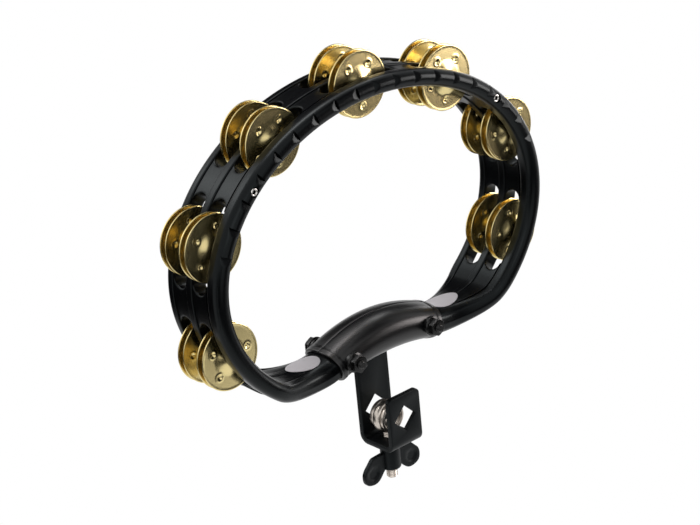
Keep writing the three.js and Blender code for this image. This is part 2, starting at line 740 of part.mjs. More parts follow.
// The strap from the side, X as depth and Y as height, bent twice below the rod.
function strapProfile() {
  const inside = STRAP_BEND;
  const outside = STRAP_BEND + STRAP;
  const rear = STRAP_Y;
  const front = STRAP_Y - CLAMP_GAP;
  const floor = CLAMP_FLOOR;
  const top = gripPoint(0).y;
  const shape = new THREE.Shape();
  shape.moveTo(rear + STRAP, top);
  shape.lineTo(rear, top);
  shape.lineTo(rear, floor + inside);
  shape.absarc(rear - inside, floor + inside, inside, 0, -Math.PI / 2, true);
  shape.lineTo(front + inside, floor);
  shape.absarc(front + inside, floor + inside, inside, -Math.PI / 2, -Math.PI, true);
  shape.lineTo(front, FRONT_LEG_TOP);
  shape.lineTo(front - STRAP, FRONT_LEG_TOP);
  shape.lineTo(front - STRAP, floor + inside);
  shape.absarc(front + inside, floor + inside, outside, Math.PI, (3 * Math.PI) / 2, false);
  shape.lineTo(rear - inside, floor - STRAP);
  shape.absarc(rear - inside, floor + inside, outside, (3 * Math.PI) / 2, 2 * Math.PI, false);
  return shape;
}

function bracket() {
  const half = STRAP_WIDTH / 2;
  const strap = new THREE.ExtrudeGeometry(strapProfile(), {
    depth: STRAP_WIDTH,
    bevelEnabled: false,
    curveSegments: 4,
  });
  // Extruded along Z, then turned so that its X is depth, its Y height and its Z width.
  strap.applyMatrix4(new THREE.Matrix4().set(0, 0, 1, -half, 1, 0, 0, 0, 0, 1, 0, 0, 0, 0, 0, 1));
  const crossbar = plate(
    crossbarOutline(PLATE_HALF_LENGTH, PLATE_HALF_HEIGHT),
    STRAP_Y,
    STRAP_Y + STRAP,
    5,
  );
  const legBack = STRAP_Y - CLAMP_GAP;
  const legFront = legBack - STRAP;
  const corners = [-1, 1].map((side) => {
    const outline = new THREE.Shape();
    const x = side * half;
    outline.moveTo(x + side, FRONT_LEG_TOP + 1);
    outline.lineTo(x - side * LEG_CORNER, FRONT_LEG_TOP + 1);
    outline.lineTo(x - side * LEG_CORNER, FRONT_LEG_TOP);
    outline.quadraticCurveTo(x, FRONT_LEG_TOP, x, FRONT_LEG_TOP - LEG_CORNER);
    outline.lineTo(x + side, FRONT_LEG_TOP - LEG_CORNER);
    return plate(outline, legFront - CUT_PAST, legBack + CUT_PAST);
  });
  const shankHole = rodAlongZ(
    SHANK_RADIUS + FASTENER_CLEARANCE,
    CLAMP_FLOOR - STRAP - CUT_PAST,
    CLAMP_FLOOR + CUT_PAST,
  ).translate(0, EYE_Y, 0);
  return cut(solid(strap).add(solid(crossbar)), [
    ...corners,
    ...boltBores(),
    rodHole(legFront - CUT_PAST, legBack + CUT_PAST),
    rodHole(STRAP_Y - CUT_PAST, STRAP_Y + STRAP + CUT_PAST),
    shankHole,
  ]);
}

// The eye bolt about its own eye, its shank down through the clamp's floor.
function eyeBolt() {
  const crown = EYE_HALF_WIDTH * 0.6;
  const collar = EYE_HALF_WIDTH - EYE_COLLAR;
  const profile = [
    [EYE_HOLE_RADIUS, -crown],
    [EYE_HOLE_RADIUS + 1, -EYE_HALF_WIDTH],
    [EYE_RADIUS - 1.2, -EYE_HALF_WIDTH],
    [EYE_RADIUS, -crown],
    [EYE_RADIUS, collar - 1],
    [EYE_COLLAR_RADIUS, collar],
    [EYE_COLLAR_RADIUS, EYE_HALF_WIDTH],
    [EYE_HOLE_RADIUS + 1, EYE_HALF_WIDTH],
    [EYE_HOLE_RADIUS, crown],
    [EYE_HOLE_RADIUS, -crown],
  ].map(([r, y]) => new THREE.Vector2(r, y));
  const eye = new THREE.LatheGeometry(profile, 20);
  const from = -(EYE_RADIUS + EYE_HOLE_RADIUS) / 2;
  const end = wingTop - WING_BARREL - SHANK_PAST_NUT + EYE_DROP;
  return solid(eye).add(solid(rodAlongZ(SHANK_RADIUS, end, from)));
}

// The wing nut about the shank's axis, its top at z = 0 against the clamp's floor.
function wingNut() {
  let shape = solid(rodAlongZ(WING_BARREL_RADIUS, -WING_BARREL, 0));
  for (const side of [-1, 1]) {
    const root = side * (WING_BARREL_RADIUS - 1);
    const lobeX = side * WING_LOBE_X;
    const diagonal = WING_RADIUS * Math.SQRT1_2;
    const outline = new THREE.Shape();
    outline.moveTo(root, -WING_ROOT_DROP);
    outline.lineTo(lobeX - side * WING_RADIUS * 0.6, -WING_ROOT_DROP - 1);
    outline.quadraticCurveTo(
      lobeX + side * 2,
      -WING_ROOT_DROP - 1.5,
      lobeX + side * diagonal,
      diagonal - WING_LOBE_DROP,
    );
    const [from, to] = side > 0 ? [45, -135] : [135, 315];
    const radians = THREE.MathUtils.degToRad;
    outline.absarc(lobeX, -WING_LOBE_DROP, WING_RADIUS, radians(from), radians(to), side > 0);
    outline.lineTo(root, 1 - WING_BARREL);
    shape = shape.add(solid(plate(outline, -WING_THICKNESS / 2, WING_THICKNESS / 2)));
  }
  const bore = rodAlongZ(SHANK_RADIUS + FASTENER_CLEARANCE, -WING_BARREL - CUT_PAST, CUT_PAST);
  return cut(shape, [bore]);
}

// --- Finishes -------------------------------------------------------------------------------------------------

const finish = (color, roughness, metalness) =>
  new THREE.MeshStandardMaterial({ color, roughness, metalness });

const blackPlastic = () => finish(0x15161b, 0.38, 0);
const glossPlastic = () => finish(0x101115, 0.25, 0);
const brass = () => finish(0xd9a441, 0.18, 1);
const blackSteel = () => finish(0x17181b, 0.35, 0.4);
const nickel = () => finish(0xcfc8bd, 0.2, 1);
const labelWhite = () => finish(0xe8e6ea, 0.4, 0);

// --- Assembly -----------------------------------------------------------------------------------------------

const group = new THREE.Group();

function piece(name, geometry, material, parent = group) {
  const mesh = new THREE.Mesh(geometry, material);
  mesh.name = name;
  parent.add(mesh);
  return mesh;
}

piece("front_ring", geometryOf(frontRing()), blackPlastic());
piece("middle_ring", geometryOf(middleRing()), blackPlastic());
piece("rear_ring", geometryOf(rearRing()), blackPlastic());

jingleStations.forEach((station, index) => {
  const place = new THREE.Group();
  place.position.copy(ringCurve.getPointAt(0.5 + station / ringLength));
  group.add(place);
  const number = index + 1;
  piece(`jingle_pin_${number}`, pinGeometry(), blackSteel(), place);
  for (const [row, rowY] of [["front", -ROW_Y], ["rear", ROW_Y]]) {
    for (const [half, facing] of [["fore", -1], ["aft", 1]]) {
      const jingle = piece(`jingle_${number}_${row}_${half}`, jingleGeometry(), brass(), place);
      jingle.position.y = rowY + facing * ((JINGLE_RIM_GAP + JINGLE_WALL) / 2);
      jingle.rotation.z = facing > 0 ? Math.PI : 0;
    }
  }
});

piece("grip_shell_front", geometryOf(gripShell(-1)), glossPlastic());
piece("grip_shell_rear", geometryOf(gripShell(1)), glossPlastic());
piece("clamp_bracket", geometryOf(bracket()), blackSteel());

for (const [name, side] of [["left", -1], ["right", 1]]) {
  const place = new THREE.Group();
  place.position.set((side * BOLT_SPACING) / 2, NECK_Y, boltZ);
  group.add(place);
  piece(`shell_bolt_${name}`, geometryOf(shellBolt()), blackSteel(), place);
  piece(`flange_nut_${name}`, geometryOf(flangeNut()), blackSteel(), place);
  const rivet = piece(`ring_rivet_${name}`, rivetGeometry(), nickel());
  rivet.position.copy(ringCurve.getPointAt(0.5 + (side * RIVET_STATION) / ringLength));
  piece(`blank_label_${name}`, labelGeometry(side), labelWhite());
}

const eye = piece("eye_bolt", geometryOf(eyeBolt()), nickel());
eye.position.set(0, EYE_Y, -EYE_DROP);
const wings = piece("wing_nut", geometryOf(wingNut()), blackSteel());
wings.position.set(0, EYE_Y, wingTop);

export default group;
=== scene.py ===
"""Mountable tambourine: an oval ring of three black rails with seven windows in two rows, brass jingles
on pins, a two-part grip, and a steel strap clamp with an eye bolt and a wing nut for a stand rod."""

import math
from functools import partial

import bmesh
import bpy
import numpy as np
from bpy.props import FloatProperty, FloatVectorProperty, IntProperty, PointerProperty
from bpy.types import Operator, Panel, PropertyGroup
from mathutils import Matrix, Vector


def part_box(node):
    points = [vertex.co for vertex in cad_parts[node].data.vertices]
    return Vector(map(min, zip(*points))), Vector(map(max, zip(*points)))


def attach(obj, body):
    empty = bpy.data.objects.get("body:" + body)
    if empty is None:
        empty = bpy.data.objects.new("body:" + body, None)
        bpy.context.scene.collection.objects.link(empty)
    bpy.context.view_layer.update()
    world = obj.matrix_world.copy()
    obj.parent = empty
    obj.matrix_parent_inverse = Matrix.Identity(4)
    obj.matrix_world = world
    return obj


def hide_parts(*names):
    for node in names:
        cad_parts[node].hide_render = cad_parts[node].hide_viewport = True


bl_info = {
    "name": "Mountable Tambourine",
    "version": (1, 0, 0),
    "blender": (4, 5, 0),
    "location": "3D View > Sidebar > Tambourine",
    "description": "Builds the finished surfaces of a clamp-mounted tambourine around its packed frame",
    "category": "Object",
}

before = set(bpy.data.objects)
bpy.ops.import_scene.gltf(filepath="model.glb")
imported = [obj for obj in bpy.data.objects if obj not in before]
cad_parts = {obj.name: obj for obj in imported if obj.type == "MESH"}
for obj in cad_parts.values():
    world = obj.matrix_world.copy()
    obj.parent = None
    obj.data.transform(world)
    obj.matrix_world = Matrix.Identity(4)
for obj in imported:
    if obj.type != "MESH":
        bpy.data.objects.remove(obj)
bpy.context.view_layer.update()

MM = 0.001
STATIONS = 7
SIDES = (-1, 1)
NAMED_SIDES = (("left", -1), ("right", 1))
JINGLE_ROWS = ("front", "rear")
JINGLE_HALVES = (("fore", -1), ("aft", 1))
MERGE_DISTANCE = 1e-6


def middle(node):
    low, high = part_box(node)
    return (low + high) / 2


# --- Places taken from the frame ---

FRONT_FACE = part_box("front_ring")[0].y
MIDDLE_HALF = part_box("middle_ring")[1].y
REAR_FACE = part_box("rear_ring")[1].y
RING_HALF_DEPTH = (REAR_FACE - FRONT_FACE) / 2
NECK_Y = (FRONT_FACE + REAR_FACE) / 2
ROW_Y = middle("jingle_1_rear_fore").y / 2 + middle("jingle_1_rear_aft").y / 2
RAIL_FROM_MIDDLE = 16.5 * MM
FRONT_BACK = -RAIL_FROM_MIDDLE
PIN_PLACES = [middle(f"jingle_pin_{n + 1}") for n in range(STATIONS)]
BOLT_PLACES = [middle(f"shell_bolt_{name}") for name, side in NAMED_SIDES]
RIVET_PLACES = [middle(f"ring_rivet_{name}") for name, side in NAMED_SIDES]
EYE_Y = middle("eye_bolt").y

# --- The ring's centreline, seen along Y ---

OVAL_HALF_WIDTH = 140 * MM
OVAL_HALF_HEIGHT = 105 * MM
OVAL_END_ANGLE = math.radians(45)  # below the wide axis, where the lower bends start
BEND_REACH = 0.42  # reach of a lower bend's handles towards the corner that it rounds
GRIP_CROWN = 59.1 * MM
OVAL_Z = GRIP_CROWN + 72.5 * MM
GRIP_RADIUS = 130 * MM
GRIP_HALF_LENGTH = 46 * MM
GRIP_CENTRE_Z = GRIP_CROWN - GRIP_RADIUS
RING_END = 24 * MM
ARCH_STEPS, BEND_STEPS, OVAL_STEPS = 80, 600, 1500

RAIL_HALF_HEIGHT = 6 * MM
WEB_RECESS = 1 * MM
JINGLE_SLOT = 13.5 * MM
JINGLE_PITCH = 78.4 * MM
WINDOW_HALF_LENGTH = 29.5 * MM
LAST_WINDOW_EXTRA = 3 * MM  # the lowest windows reach further down
NECK_HALF_DEPTH = 16 * MM
NECK_HALF_HEIGHT = 9.5 * MM
NECK_ROUNDNESS = 2.6
NECK_FLAT = 0.6 * RAIL_HALF_HEIGHT  # what lies further out on a rail meets the surface of the neck
NECK_GAP = 6 * MM
NECK_LAND = 12 * MM


def grip_point(angle):
    return np.array([GRIP_RADIUS * math.sin(angle), GRIP_CENTRE_Z + GRIP_RADIUS * math.cos(angle)])


def bezier(p0, p1, p2, p3):
    t = np.linspace(0, 1, BEND_STEPS)[:, None]
    s = 1 - t
    return s**3 * p0 + 3 * s**2 * t * p1 + 3 * s * t**2 * p2 + t**3 * p3


def lower_bend():
    """From the end of the grip's arch out to the oval, on the right side."""
    end_angle = math.asin(GRIP_HALF_LENGTH / GRIP_RADIUS)
    grip_end = grip_point(end_angle)
    c, s = math.cos(OVAL_END_ANGLE), math.sin(OVAL_END_ANGLE)
    oval_end = np.array([OVAL_HALF_WIDTH * c, OVAL_Z - OVAL_HALF_HEIGHT * s])
    grip_way = np.array([math.cos(end_angle), -math.sin(end_angle)])
    oval_way = np.array([-OVAL_HALF_WIDTH * s, -OVAL_HALF_HEIGHT * c])
    along = np.linalg.solve(np.column_stack([grip_way, -oval_way]), oval_end - grip_end)[0]
    corner = grip_end + along * grip_way
    from_grip = grip_end + BEND_REACH * (corner - grip_end)
    from_oval = oval_end + BEND_REACH * (corner - oval_end)
    return bezier(grip_end, from_grip, from_oval, oval_end)


def ring_line():
    """Points along the whole centreline from the left end inside the grip to the right one."""
    ends = [math.asin(reach / GRIP_RADIUS) for reach in (RING_END, GRIP_HALF_LENGTH)]
    arch = np.array([grip_point(a) for a in np.linspace(*ends, ARCH_STEPS)])
    turn = np.linspace(-OVAL_END_ANGLE, math.pi / 2, OVAL_STEPS)
    oval = np.column_stack([OVAL_HALF_WIDTH * np.cos(turn), OVAL_Z + OVAL_HALF_HEIGHT * np.sin(turn)])
    right = np.vstack([arch[:-1], lower_bend()[:-1], oval])  # up to the top
    left = right * np.array([-1, 1])
    return np.vstack([left[:-1], right[::-1]])


LINE = ring_line()
RUN = np.concatenate([[0], np.cumsum(np.linalg.norm(np.diff(LINE, axis=0), axis=1))])
RING_LENGTH = RUN[-1]
WAY = np.gradient(LINE, RUN, axis=0)
LAST_WINDOW_END = (STATIONS - 1) / 2 * JINGLE_PITCH + WINDOW_HALF_LENGTH
NECK_OUTSIDE = RING_LENGTH / 2 - (GRIP_HALF_LENGTH - RING_END) - NECK_LAND
STATION_PLACES = [(n - (STATIONS - 1) / 2) * JINGLE_PITCH for n in range(STATIONS)]


def on_ring(station, depth, outwards):
    """The point at a station from the top, at a depth along Y and a height outwards."""
    run = np.asarray(station) + RING_LENGTH / 2
    x, z = (np.interp(run, RUN, LINE[:, k]) for k in (0, 1))
    wx, wz = (np.interp(run, RUN, WAY[:, k]) for k in (0, 1))
    length = np.hypot(wx, wz)
    wx, wz = wx / length, wz / length
    return np.stack([x - wz * outwards, np.broadcast_to(depth, x.shape), z + wx * outwards], -1)


def eased(share):
    """A share from 0 to 1 that starts and ends level."""
    share = np.clip(share, 0, 1)
    return share * share * (3 - 2 * share)


def neck_share(station):
    """0 on the ring, 1 on the neck, and a share of both between them."""
    start = LAST_WINDOW_END + NECK_GAP
    return eased((np.abs(station) - start) / (NECK_OUTSIDE - start))


def neck_half_height(share):
    rest = np.clip(1 - np.abs(share) ** NECK_ROUNDNESS, 0, 1)
    return NECK_HALF_HEIGHT * rest ** (1 / NECK_ROUNDNESS)


def drawn_half_depth(share):
    return RING_HALF_DEPTH + (NECK_HALF_DEPTH - RING_HALF_DEPTH) * share


def drawn_in(station, depth, outwards):
    """A point of the ring's section, drawn in towards the neck's oval where the ring becomes a neck."""
    share = neck_share(station)
    depth_share = (depth - NECK_Y) / RING_HALF_DEPTH
    neck_z = np.clip(outwards / NECK_FLAT, -1, 1) * neck_half_height(depth_share)
    return NECK_Y + depth_share * drawn_half_depth(share), outwards + (neck_z - outwards) * share


# --- Meshes ---


def placed(name, data):
    """An object with this data, put in the scene."""
    obj = bpy.data.objects.new(name, data)
    bpy.context.scene.collection.objects.link(obj)
    return obj


def new_piece(name, verts, faces, material, smooth_angle=35):
    mesh = bpy.data.meshes.new(name)
    mesh.from_pydata([tuple(v) for v in verts], [], [tuple(int(i) for i in f) for f in faces])
    return finish_piece(name, mesh, material, smooth_angle)


def finish_piece(name, mesh, material, smooth_angle=35):
    """Merges points that meet, turns the faces outwards and shades them."""
    bm = bmesh.new()
    bm.from_mesh(mesh)
    bmesh.ops.remove_doubles(bm, verts=bm.verts, dist=MERGE_DISTANCE)
    bmesh.ops.recalc_face_normals(bm, faces=bm.faces)
    bm.to_mesh(mesh)
    bm.free()
    mesh.materials.clear()
    mesh.materials.append(material)
    obj = placed(name, mesh)
    shade(obj, smooth_angle)
    return obj


def shade(obj, degrees):
    """Smooth shading with sharp edges where faces meet at more than an angle."""
    mesh = obj.data
    mesh.shade_smooth()
    bm = bmesh.new()
    bm.from_mesh(mesh)
    limit = math.radians(degrees)
    for edge in bm.edges:
        edge.smooth = len(edge.link_faces) == 2 and edge.calc_face_angle(0) < limit
    bm.to_mesh(mesh)
    bm.free()


def settle(obj):
    """Applies the modifiers, so that the object is a plain mesh."""
    bpy.context.view_layer.update()
    evaluated = obj.evaluated_get(bpy.context.evaluated_depsgraph_get())
    mesh = bpy.data.meshes.new_from_object(evaluated)
    obj.modifiers.clear()
    obj.data = mesh
    return obj


def ring_faces(rows, columns):
    """Faces between rows of points, each row closed on itself."""
    faces = []
    for a in range(0, (rows - 1) * columns, columns):
        b = a + columns
        for j in range(columns):
            k = (j + 1) % columns
            faces.append((a + j, a + k, b + k, b + j))
    return faces


def loft(name, rows, material, smooth_angle=35):
    """A closed body from rows of points, its two ends capped."""
    count, columns = rows.shape[:2]
    faces = ring_faces(count, columns)
    faces.append(tuple(range(columns - 1, -1, -1)))
    last = (count - 1) * columns
    faces.append(tuple(range(last, last + columns)))
    return new_piece(name, rows.reshape(-1, 3), faces, material, smooth_angle)


def lathe(name, profile, material, sides=64):
    """A closed profile of (radius, height) turned about the Y axis."""
    radius, height = np.asarray(profile, float).T
    turn = np.linspace(0, 2 * math.pi, sides, endpoint=False)
    verts = np.vstack([np.stack([radius * math.sin(a), height, radius * math.cos(a)], -1) for a in turn])
    count = len(radius)
    faces = []
    for i in range(sides):
        a, b = i * count, ((i + 1) % sides) * count
        for j in range(count):
            k = (j + 1) % count
            if max(radius[j], radius[k]) > 0:
                faces.append((a + j, a + k, b + k, b + j))
    return new_piece(name, verts, faces, material)


def prism(name, outline, low, high, axis, material):
    """A flat outline given a thickness along X or Y."""
    place = 0 if axis == "X" else 1
    verts = [np.insert(point, place, level) for level in (low, high) for point in outline]
    count = len(outline)
    faces = [tuple(range(count)), tuple(range(2 * count - 1, count - 1, -1))]
    faces += [(i, (i + 1) % count, count + (i + 1) % count, count + i) for i in range(count)]
    return new_piece(name, verts, faces, material)


def arc(y, z, radius, start, end, steps=12):
    """Points about a centre, from one angle to another in degrees."""
    angles = np.radians(np.linspace(start, end, steps))
    return [(y + radius * math.cos(a), z + radius * math.sin(a)) for a in angles]


def round_corners(corners, steps=7):
    """A closed outline from corners that each give a place and a rounding."""
    out = []
    for i, (x, y, radius) in enumerate(corners):
        p = np.array([x, y])
        before = np.array(corners[i - 1][:2]) - p
        after = np.array(corners[(i + 1) % len(corners)][:2]) - p
        a = p + before / np.linalg.norm(before) * radius
        b = p + after / np.linalg.norm(after) * radius
        for t in np.linspace(0, 1, steps) if radius > 0 else [0]:
            out.append((1 - t) ** 2 * a + 2 * t * (1 - t) * p + t**2 * b)
    return np.array(out)


def cut_away(obj, cutters, operation="DIFFERENCE"):
    """Takes away what lies inside the cutters, or with INTERSECT what lies outside them."""
    for cutter in cutters:
        modifier = obj.modifiers.new("cut", "BOOLEAN")
        modifier.operation = operation
        modifier.solver = "EXACT"
        modifier.object = cutter
    settle(obj)
    for cutter in cutters:
        bpy.data.objects.remove(cutter)
    return obj


def bevelled(obj, width, segments=3, degrees=40):
    modifier = obj.modifiers.new("edges", "BEVEL")
    modifier.width = width
    modifier.segments = segments
    modifier.limit_method = "ANGLE"
    modifier.angle_limit = math.radians(degrees)
    modifier.use_clamp_overlap = True
    settle(obj)
    shade(obj, 35)
    return obj


def joined(name, objects):
    """Several objects as one; each keeps its material."""
    bm = bmesh.new()
    materials = []
    for obj in objects:
        first = len(bm.faces)
        bm.from_mesh(obj.data)
        material = obj.data.materials[0]
        if material not in materials:
            materials.append(material)
        bm.faces.ensure_lookup_table()
        for face in bm.faces[first:]:
            face.material_index = materials.index(material)
    mesh = bpy.data.meshes.new(name)
    bm.to_mesh(mesh)
    bm.free()
    for material in materials:
        mesh.materials.append(material)
    for obj in objects:
        bpy.data.objects.remove(obj)
    return placed(name, mesh)


def moved(obj, matrix):
    obj.data.transform(matrix)
    return obj


def dressed(obj, body, slot, *nodes):
    """Puts a finished piece on its body, in place of its plain frame nodes."""
    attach(obj, body)
    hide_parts(*nodes)
    return obj


# --- Materials ---

COOL_SHEEN = (0.86, 0.98, 1.0, 1.0)
PLAIN_SHEEN = (1.0, 1.0, 1.0, 1.0)
BUMP_DISTANCE = 0.2 * MM
PATCH_SCALE = 60
PATCH_SHADE = 0.93

# A grain is its fineness, what it takes off the roughness and adds to it, and its height.
MOULDED_GRAIN = (2600, 0.03, 0.04, 0.05)
COATED_GRAIN = (1500, 0.04, 0.05, 0.12)
OXIDE_GRAIN = (1500, 0.04, 0.05, 0.05)
PLATED_GRAIN = (700, 0.03, 0.06, 0.02)
SPUN_GRAIN = (900, 0.02, 0.03, 0)
PRINTED_GRAIN = (1800, 0.04, 0.06, 0.02)

SATIN_MOULDING = {"Specular IOR Level": 0.17, "Specular Tint": COOL_SHEEN}
# Each finish's settings, grain and shine.
FINISHES = {
    "ring_black": ("ring", MOULDED_GRAIN, SATIN_MOULDING),
    "grip_black": ("grip", MOULDED_GRAIN, {"Specular IOR Level": 0.45, "Specular Tint": PLAIN_SHEEN}),
    "clamp_black": ("steel", COATED_GRAIN, {"Specular IOR Level": 0.2, "Specular Tint": COOL_SHEEN}),
    "bolt_black": ("bolt", OXIDE_GRAIN, {"Metallic": 0.85}),
    "satin_nickel": ("nickel", PLATED_GRAIN, {"Metallic": 1}),
    "bright_nickel": ("rivet", PLATED_GRAIN, {"Metallic": 1}),
    "jingle_brass": ("brass", SPUN_GRAIN, {"Metallic": 1}),
    "label_white": ("label", PRINTED_GRAIN, {}),
}


def body_noise(nodes, links, scale, detail):
    """Noise that stays with the object it is on."""
    place = nodes.new("ShaderNodeTexCoord")
    noise = nodes.new("ShaderNodeTexNoise")
    noise.inputs["Scale"].default_value = scale
    noise.inputs["Detail"].default_value = detail
    links.new(place.outputs["Object"], noise.inputs["Vector"])
    return noise.outputs["Fac"]


def plain_finish(name, values, roughness, grain, shine):
    """One colour, with fine noise on its roughness and height."""
    material = bpy.data.materials.new(name)
    material.use_nodes = True
    nodes, links = material.node_tree.nodes, material.node_tree.links
    shader = nodes["Principled BSDF"]
    shader.inputs["Base Color"].default_value = (*values, 1)
    for label, value in shine.items():
        shader.inputs[label].default_value = value
    scale, below, above, bump = grain
    noise = body_noise(nodes, links, scale, 3)
    spread = nodes.new("ShaderNodeMapRange")
    spread.inputs["To Min"].default_value = roughness - below
    spread.inputs["To Max"].default_value = roughness + above
    links.new(noise, spread.inputs["Value"])
    links.new(spread.outputs["Result"], shader.inputs["Roughness"])
    if bump > 0:
        height = nodes.new("ShaderNodeBump")
        height.inputs["Strength"].default_value = bump
        height.inputs["Distance"].default_value = BUMP_DISTANCE
        links.new(noise, height.inputs["Height"])
        links.new(height.outputs["Normal"], shader.inputs["Normal"])
    return material


def shaded_patches(material, values):
    """Makes a finish a little darker in soft patches."""
    nodes, links = material.node_tree.nodes, material.node_tree.links
    mix = nodes.new("ShaderNodeMix")
    mix.data_type = "RGBA"
    mix.inputs[6].default_value = (*[v * PATCH_SHADE for v in values], 1)
    mix.inputs[7].default_value = (*values, 1)
    links.new(body_noise(nodes, links, PATCH_SCALE, 2), mix.inputs[0])
    links.new(mix.outputs[2], nodes["Principled BSDF"].inputs["Base Color"])


def finish(name):
    """The finish of this name, made from its settings when it is first asked for."""
    material = bpy.data.materials.get(name)
    if material is None:
        settings, grain, shine = FINISHES[name]
        looks = bpy.context.scene.tambourine_looks
        values = getattr(looks, settings + "_colour")
        material = plain_finish(name, values, getattr(looks, settings + "_roughness"), grain, shine)
        if settings == "brass":
            shaded_patches(material, values)
    return material


# --- Settings ---


def length(name, text, value):
    return FloatProperty(name=name, description=text, default=value, unit="LENGTH")


def paint(name, text, values):
    return FloatVectorProperty(name=name, description=text, subtype="COLOR", default=values, min=0, max=1)


def polish(name, text, value):
    return FloatProperty(name=name, description=text, default=value, min=0, max=1)


class TambourineSizes(PropertyGroup):
    dome_rise: length("Dome rise", "Height of a jingle's dome", 2.6 * MM)
    dome_radius: length("Dome radius", "Where the dome meets the rim's flat", 13 * MM)
    sheet: length("Sheet", "Thickness of the jingles' brass", 0.7 * MM)
    dents: IntProperty(name="Dents", description="Dents round each jingle", default=5, min=0, max=12)
    dent_radius: length("Dent radius", "Radius of one dent", 2.3 * MM)
    dent_depth: length("Dent depth", "Depth of one dent", 0.8 * MM)
    notch_pitch: length("Notch pitch", "Along the front rail", 18 * MM)
    notch_depth: length("Notch depth", "At a notch's steep side", 1.5 * MM)
    notch_length: length("Notch length", "Along the front rail", 5 * MM)
    thread_pitch: length("Thread pitch", "Of the eye bolt's thread", 1.25 * MM)


class TambourineLooks(PropertyGroup):
    ring_colour: paint("Ring", "Moulded ring", (0.002, 0.0021, 0.0027))
    ring_roughness: polish("Ring roughness", "Satin of the ring", 0.28)
    grip_colour: paint("Grip", "Grip shells", (0.0025, 0.0025, 0.003))
    grip_roughness: polish("Grip roughness", "Satin of the grip", 0.3)
    brass_colour: paint("Brass", "Jingles", (0.82, 0.68, 0.33))
    brass_roughness: polish("Brass roughness", "Polish of the jingles", 0.23)
    steel_colour: paint("Clamp", "Coated clamp", (0.004, 0.0047, 0.0055))
    steel_roughness: polish("Clamp roughness", "Satin of the clamp", 0.42)
    bolt_colour: paint("Bolts", "Bolts and nuts", (0.03, 0.03, 0.03))
    bolt_roughness: polish("Bolt roughness", "Sheen of bolts and nuts", 0.26)
    nickel_colour: paint("Nickel", "Eye bolt", (0.6, 0.54, 0.48))
    nickel_roughness: polish("Nickel roughness", "Polish of the eye bolt", 0.3)
    rivet_colour: paint("Rivets", "Rivets of the front rail", (0.74, 0.72, 0.69))
    rivet_roughness: polish("Rivet roughness", "Polish of the rivets", 0.16)
    label_colour: paint("Label", "Blank labels", (0.46, 0.43, 0.45))
    label_roughness: polish("Label roughness", "Satin of the labels", 0.38)


# --- Geometry Nodes ---


class Tree:
    """A node tree under construction, with short ways to add arithmetic."""

    def __init__(self, name, inputs):
        self.tree = bpy.data.node_groups.new(name, "GeometryNodeTree")
        self.tree.is_modifier = True
        face = self.tree.interface
        face.new_socket("Geometry", in_out="INPUT", socket_type="NodeSocketGeometry")
        self.sockets = {}
        for label, kind in inputs:
            self.sockets[label] = face.new_socket(label, in_out="INPUT", socket_type=kind).identifier
        face.new_socket("Geometry", in_out="OUTPUT", socket_type="NodeSocketGeometry")
        self.given = self.tree.nodes.new("NodeGroupInput")
        self.result = self.tree.nodes.new("NodeGroupOutput")

    def node(self, kind, **settings):
        node = self.tree.nodes.new(kind)
        for key, value in settings.items():
            setattr(node, key, value)
        return node

    def link(self, source, target):
        self.tree.links.new(source, target)

    def value(self, label):
        return self.given.outputs[label]

    def fill(self, socket, term):
        """Puts a number or another node's output into a socket."""
        if isinstance(term, (int, float)):
            socket.default_value = term
        else:
            self.link(term, socket)

    def math(self, operation, *terms):
        node = self.node("ShaderNodeMath", operation=operation)
        for term, socket in zip(terms, node.inputs):
            self.fill(socket, term)
        return node.outputs[0]

    def smooth(self, value, low, high):
        node = self.node("ShaderNodeMapRange", interpolation_type="SMOOTHSTEP")
        for label, term in (("Value", value), ("From Min", low), ("From Max", high)):
            self.fill(node.inputs[label], term)
        return node.outputs["Result"]

    def end(self, geometry):
        """Ends the tree with this geometry, made real and in the tree's finish."""
        realize = self.node("GeometryNodeRealizeInstances")
        self.link(geometry, realize.inputs["Geometry"])
        material = self.node("GeometryNodeSetMaterial")
        self.link(realize.outputs["Geometry"], material.inputs["Geometry"])
        self.link(self.value("Finish"), material.inputs["Material"])
        self.link(material.outputs["Geometry"], self.result.inputs["Geometry"])


def run_tree(name, tree, points, values):
    """Runs a tree on a mesh of points and gives the result as a plain mesh."""
    mesh = bpy.data.meshes.new(name)
    mesh.from_pydata([tuple(p) for p in points], [], [])
    obj = placed(name, mesh)
    modifier = obj.modifiers.new(name, "NODES")
    modifier.node_group = tree.tree
    for label, value in values.items():
        modifier[tree.sockets[label]] = value
    made = settle(obj).data
    bpy.data.objects.remove(obj)
    made.name = name
    return made


def repeated(name, source, places, material):
    """One piece with a copy of the source at each place; the source is used up."""
    tree = Tree("repeat_at_points", [("Source", "NodeSocketObject"), ("Finish", "NodeSocketMaterial")])
    given = tree.node("GeometryNodeObjectInfo")
    tree.link(tree.value("Source"), given.inputs["Object"])
    place = tree.node("GeometryNodeInstanceOnPoints")
    tree.link(tree.value("Geometry"), place.inputs["Points"])
    tree.link(given.outputs["Geometry"], place.inputs["Instance"])
    tree.end(place.outputs["Instances"])
    mesh = run_tree(name, tree, places, {"Source": source, "Finish": material})
    bpy.data.objects.remove(source)
    return placed(name, mesh)


# --- Ring ---

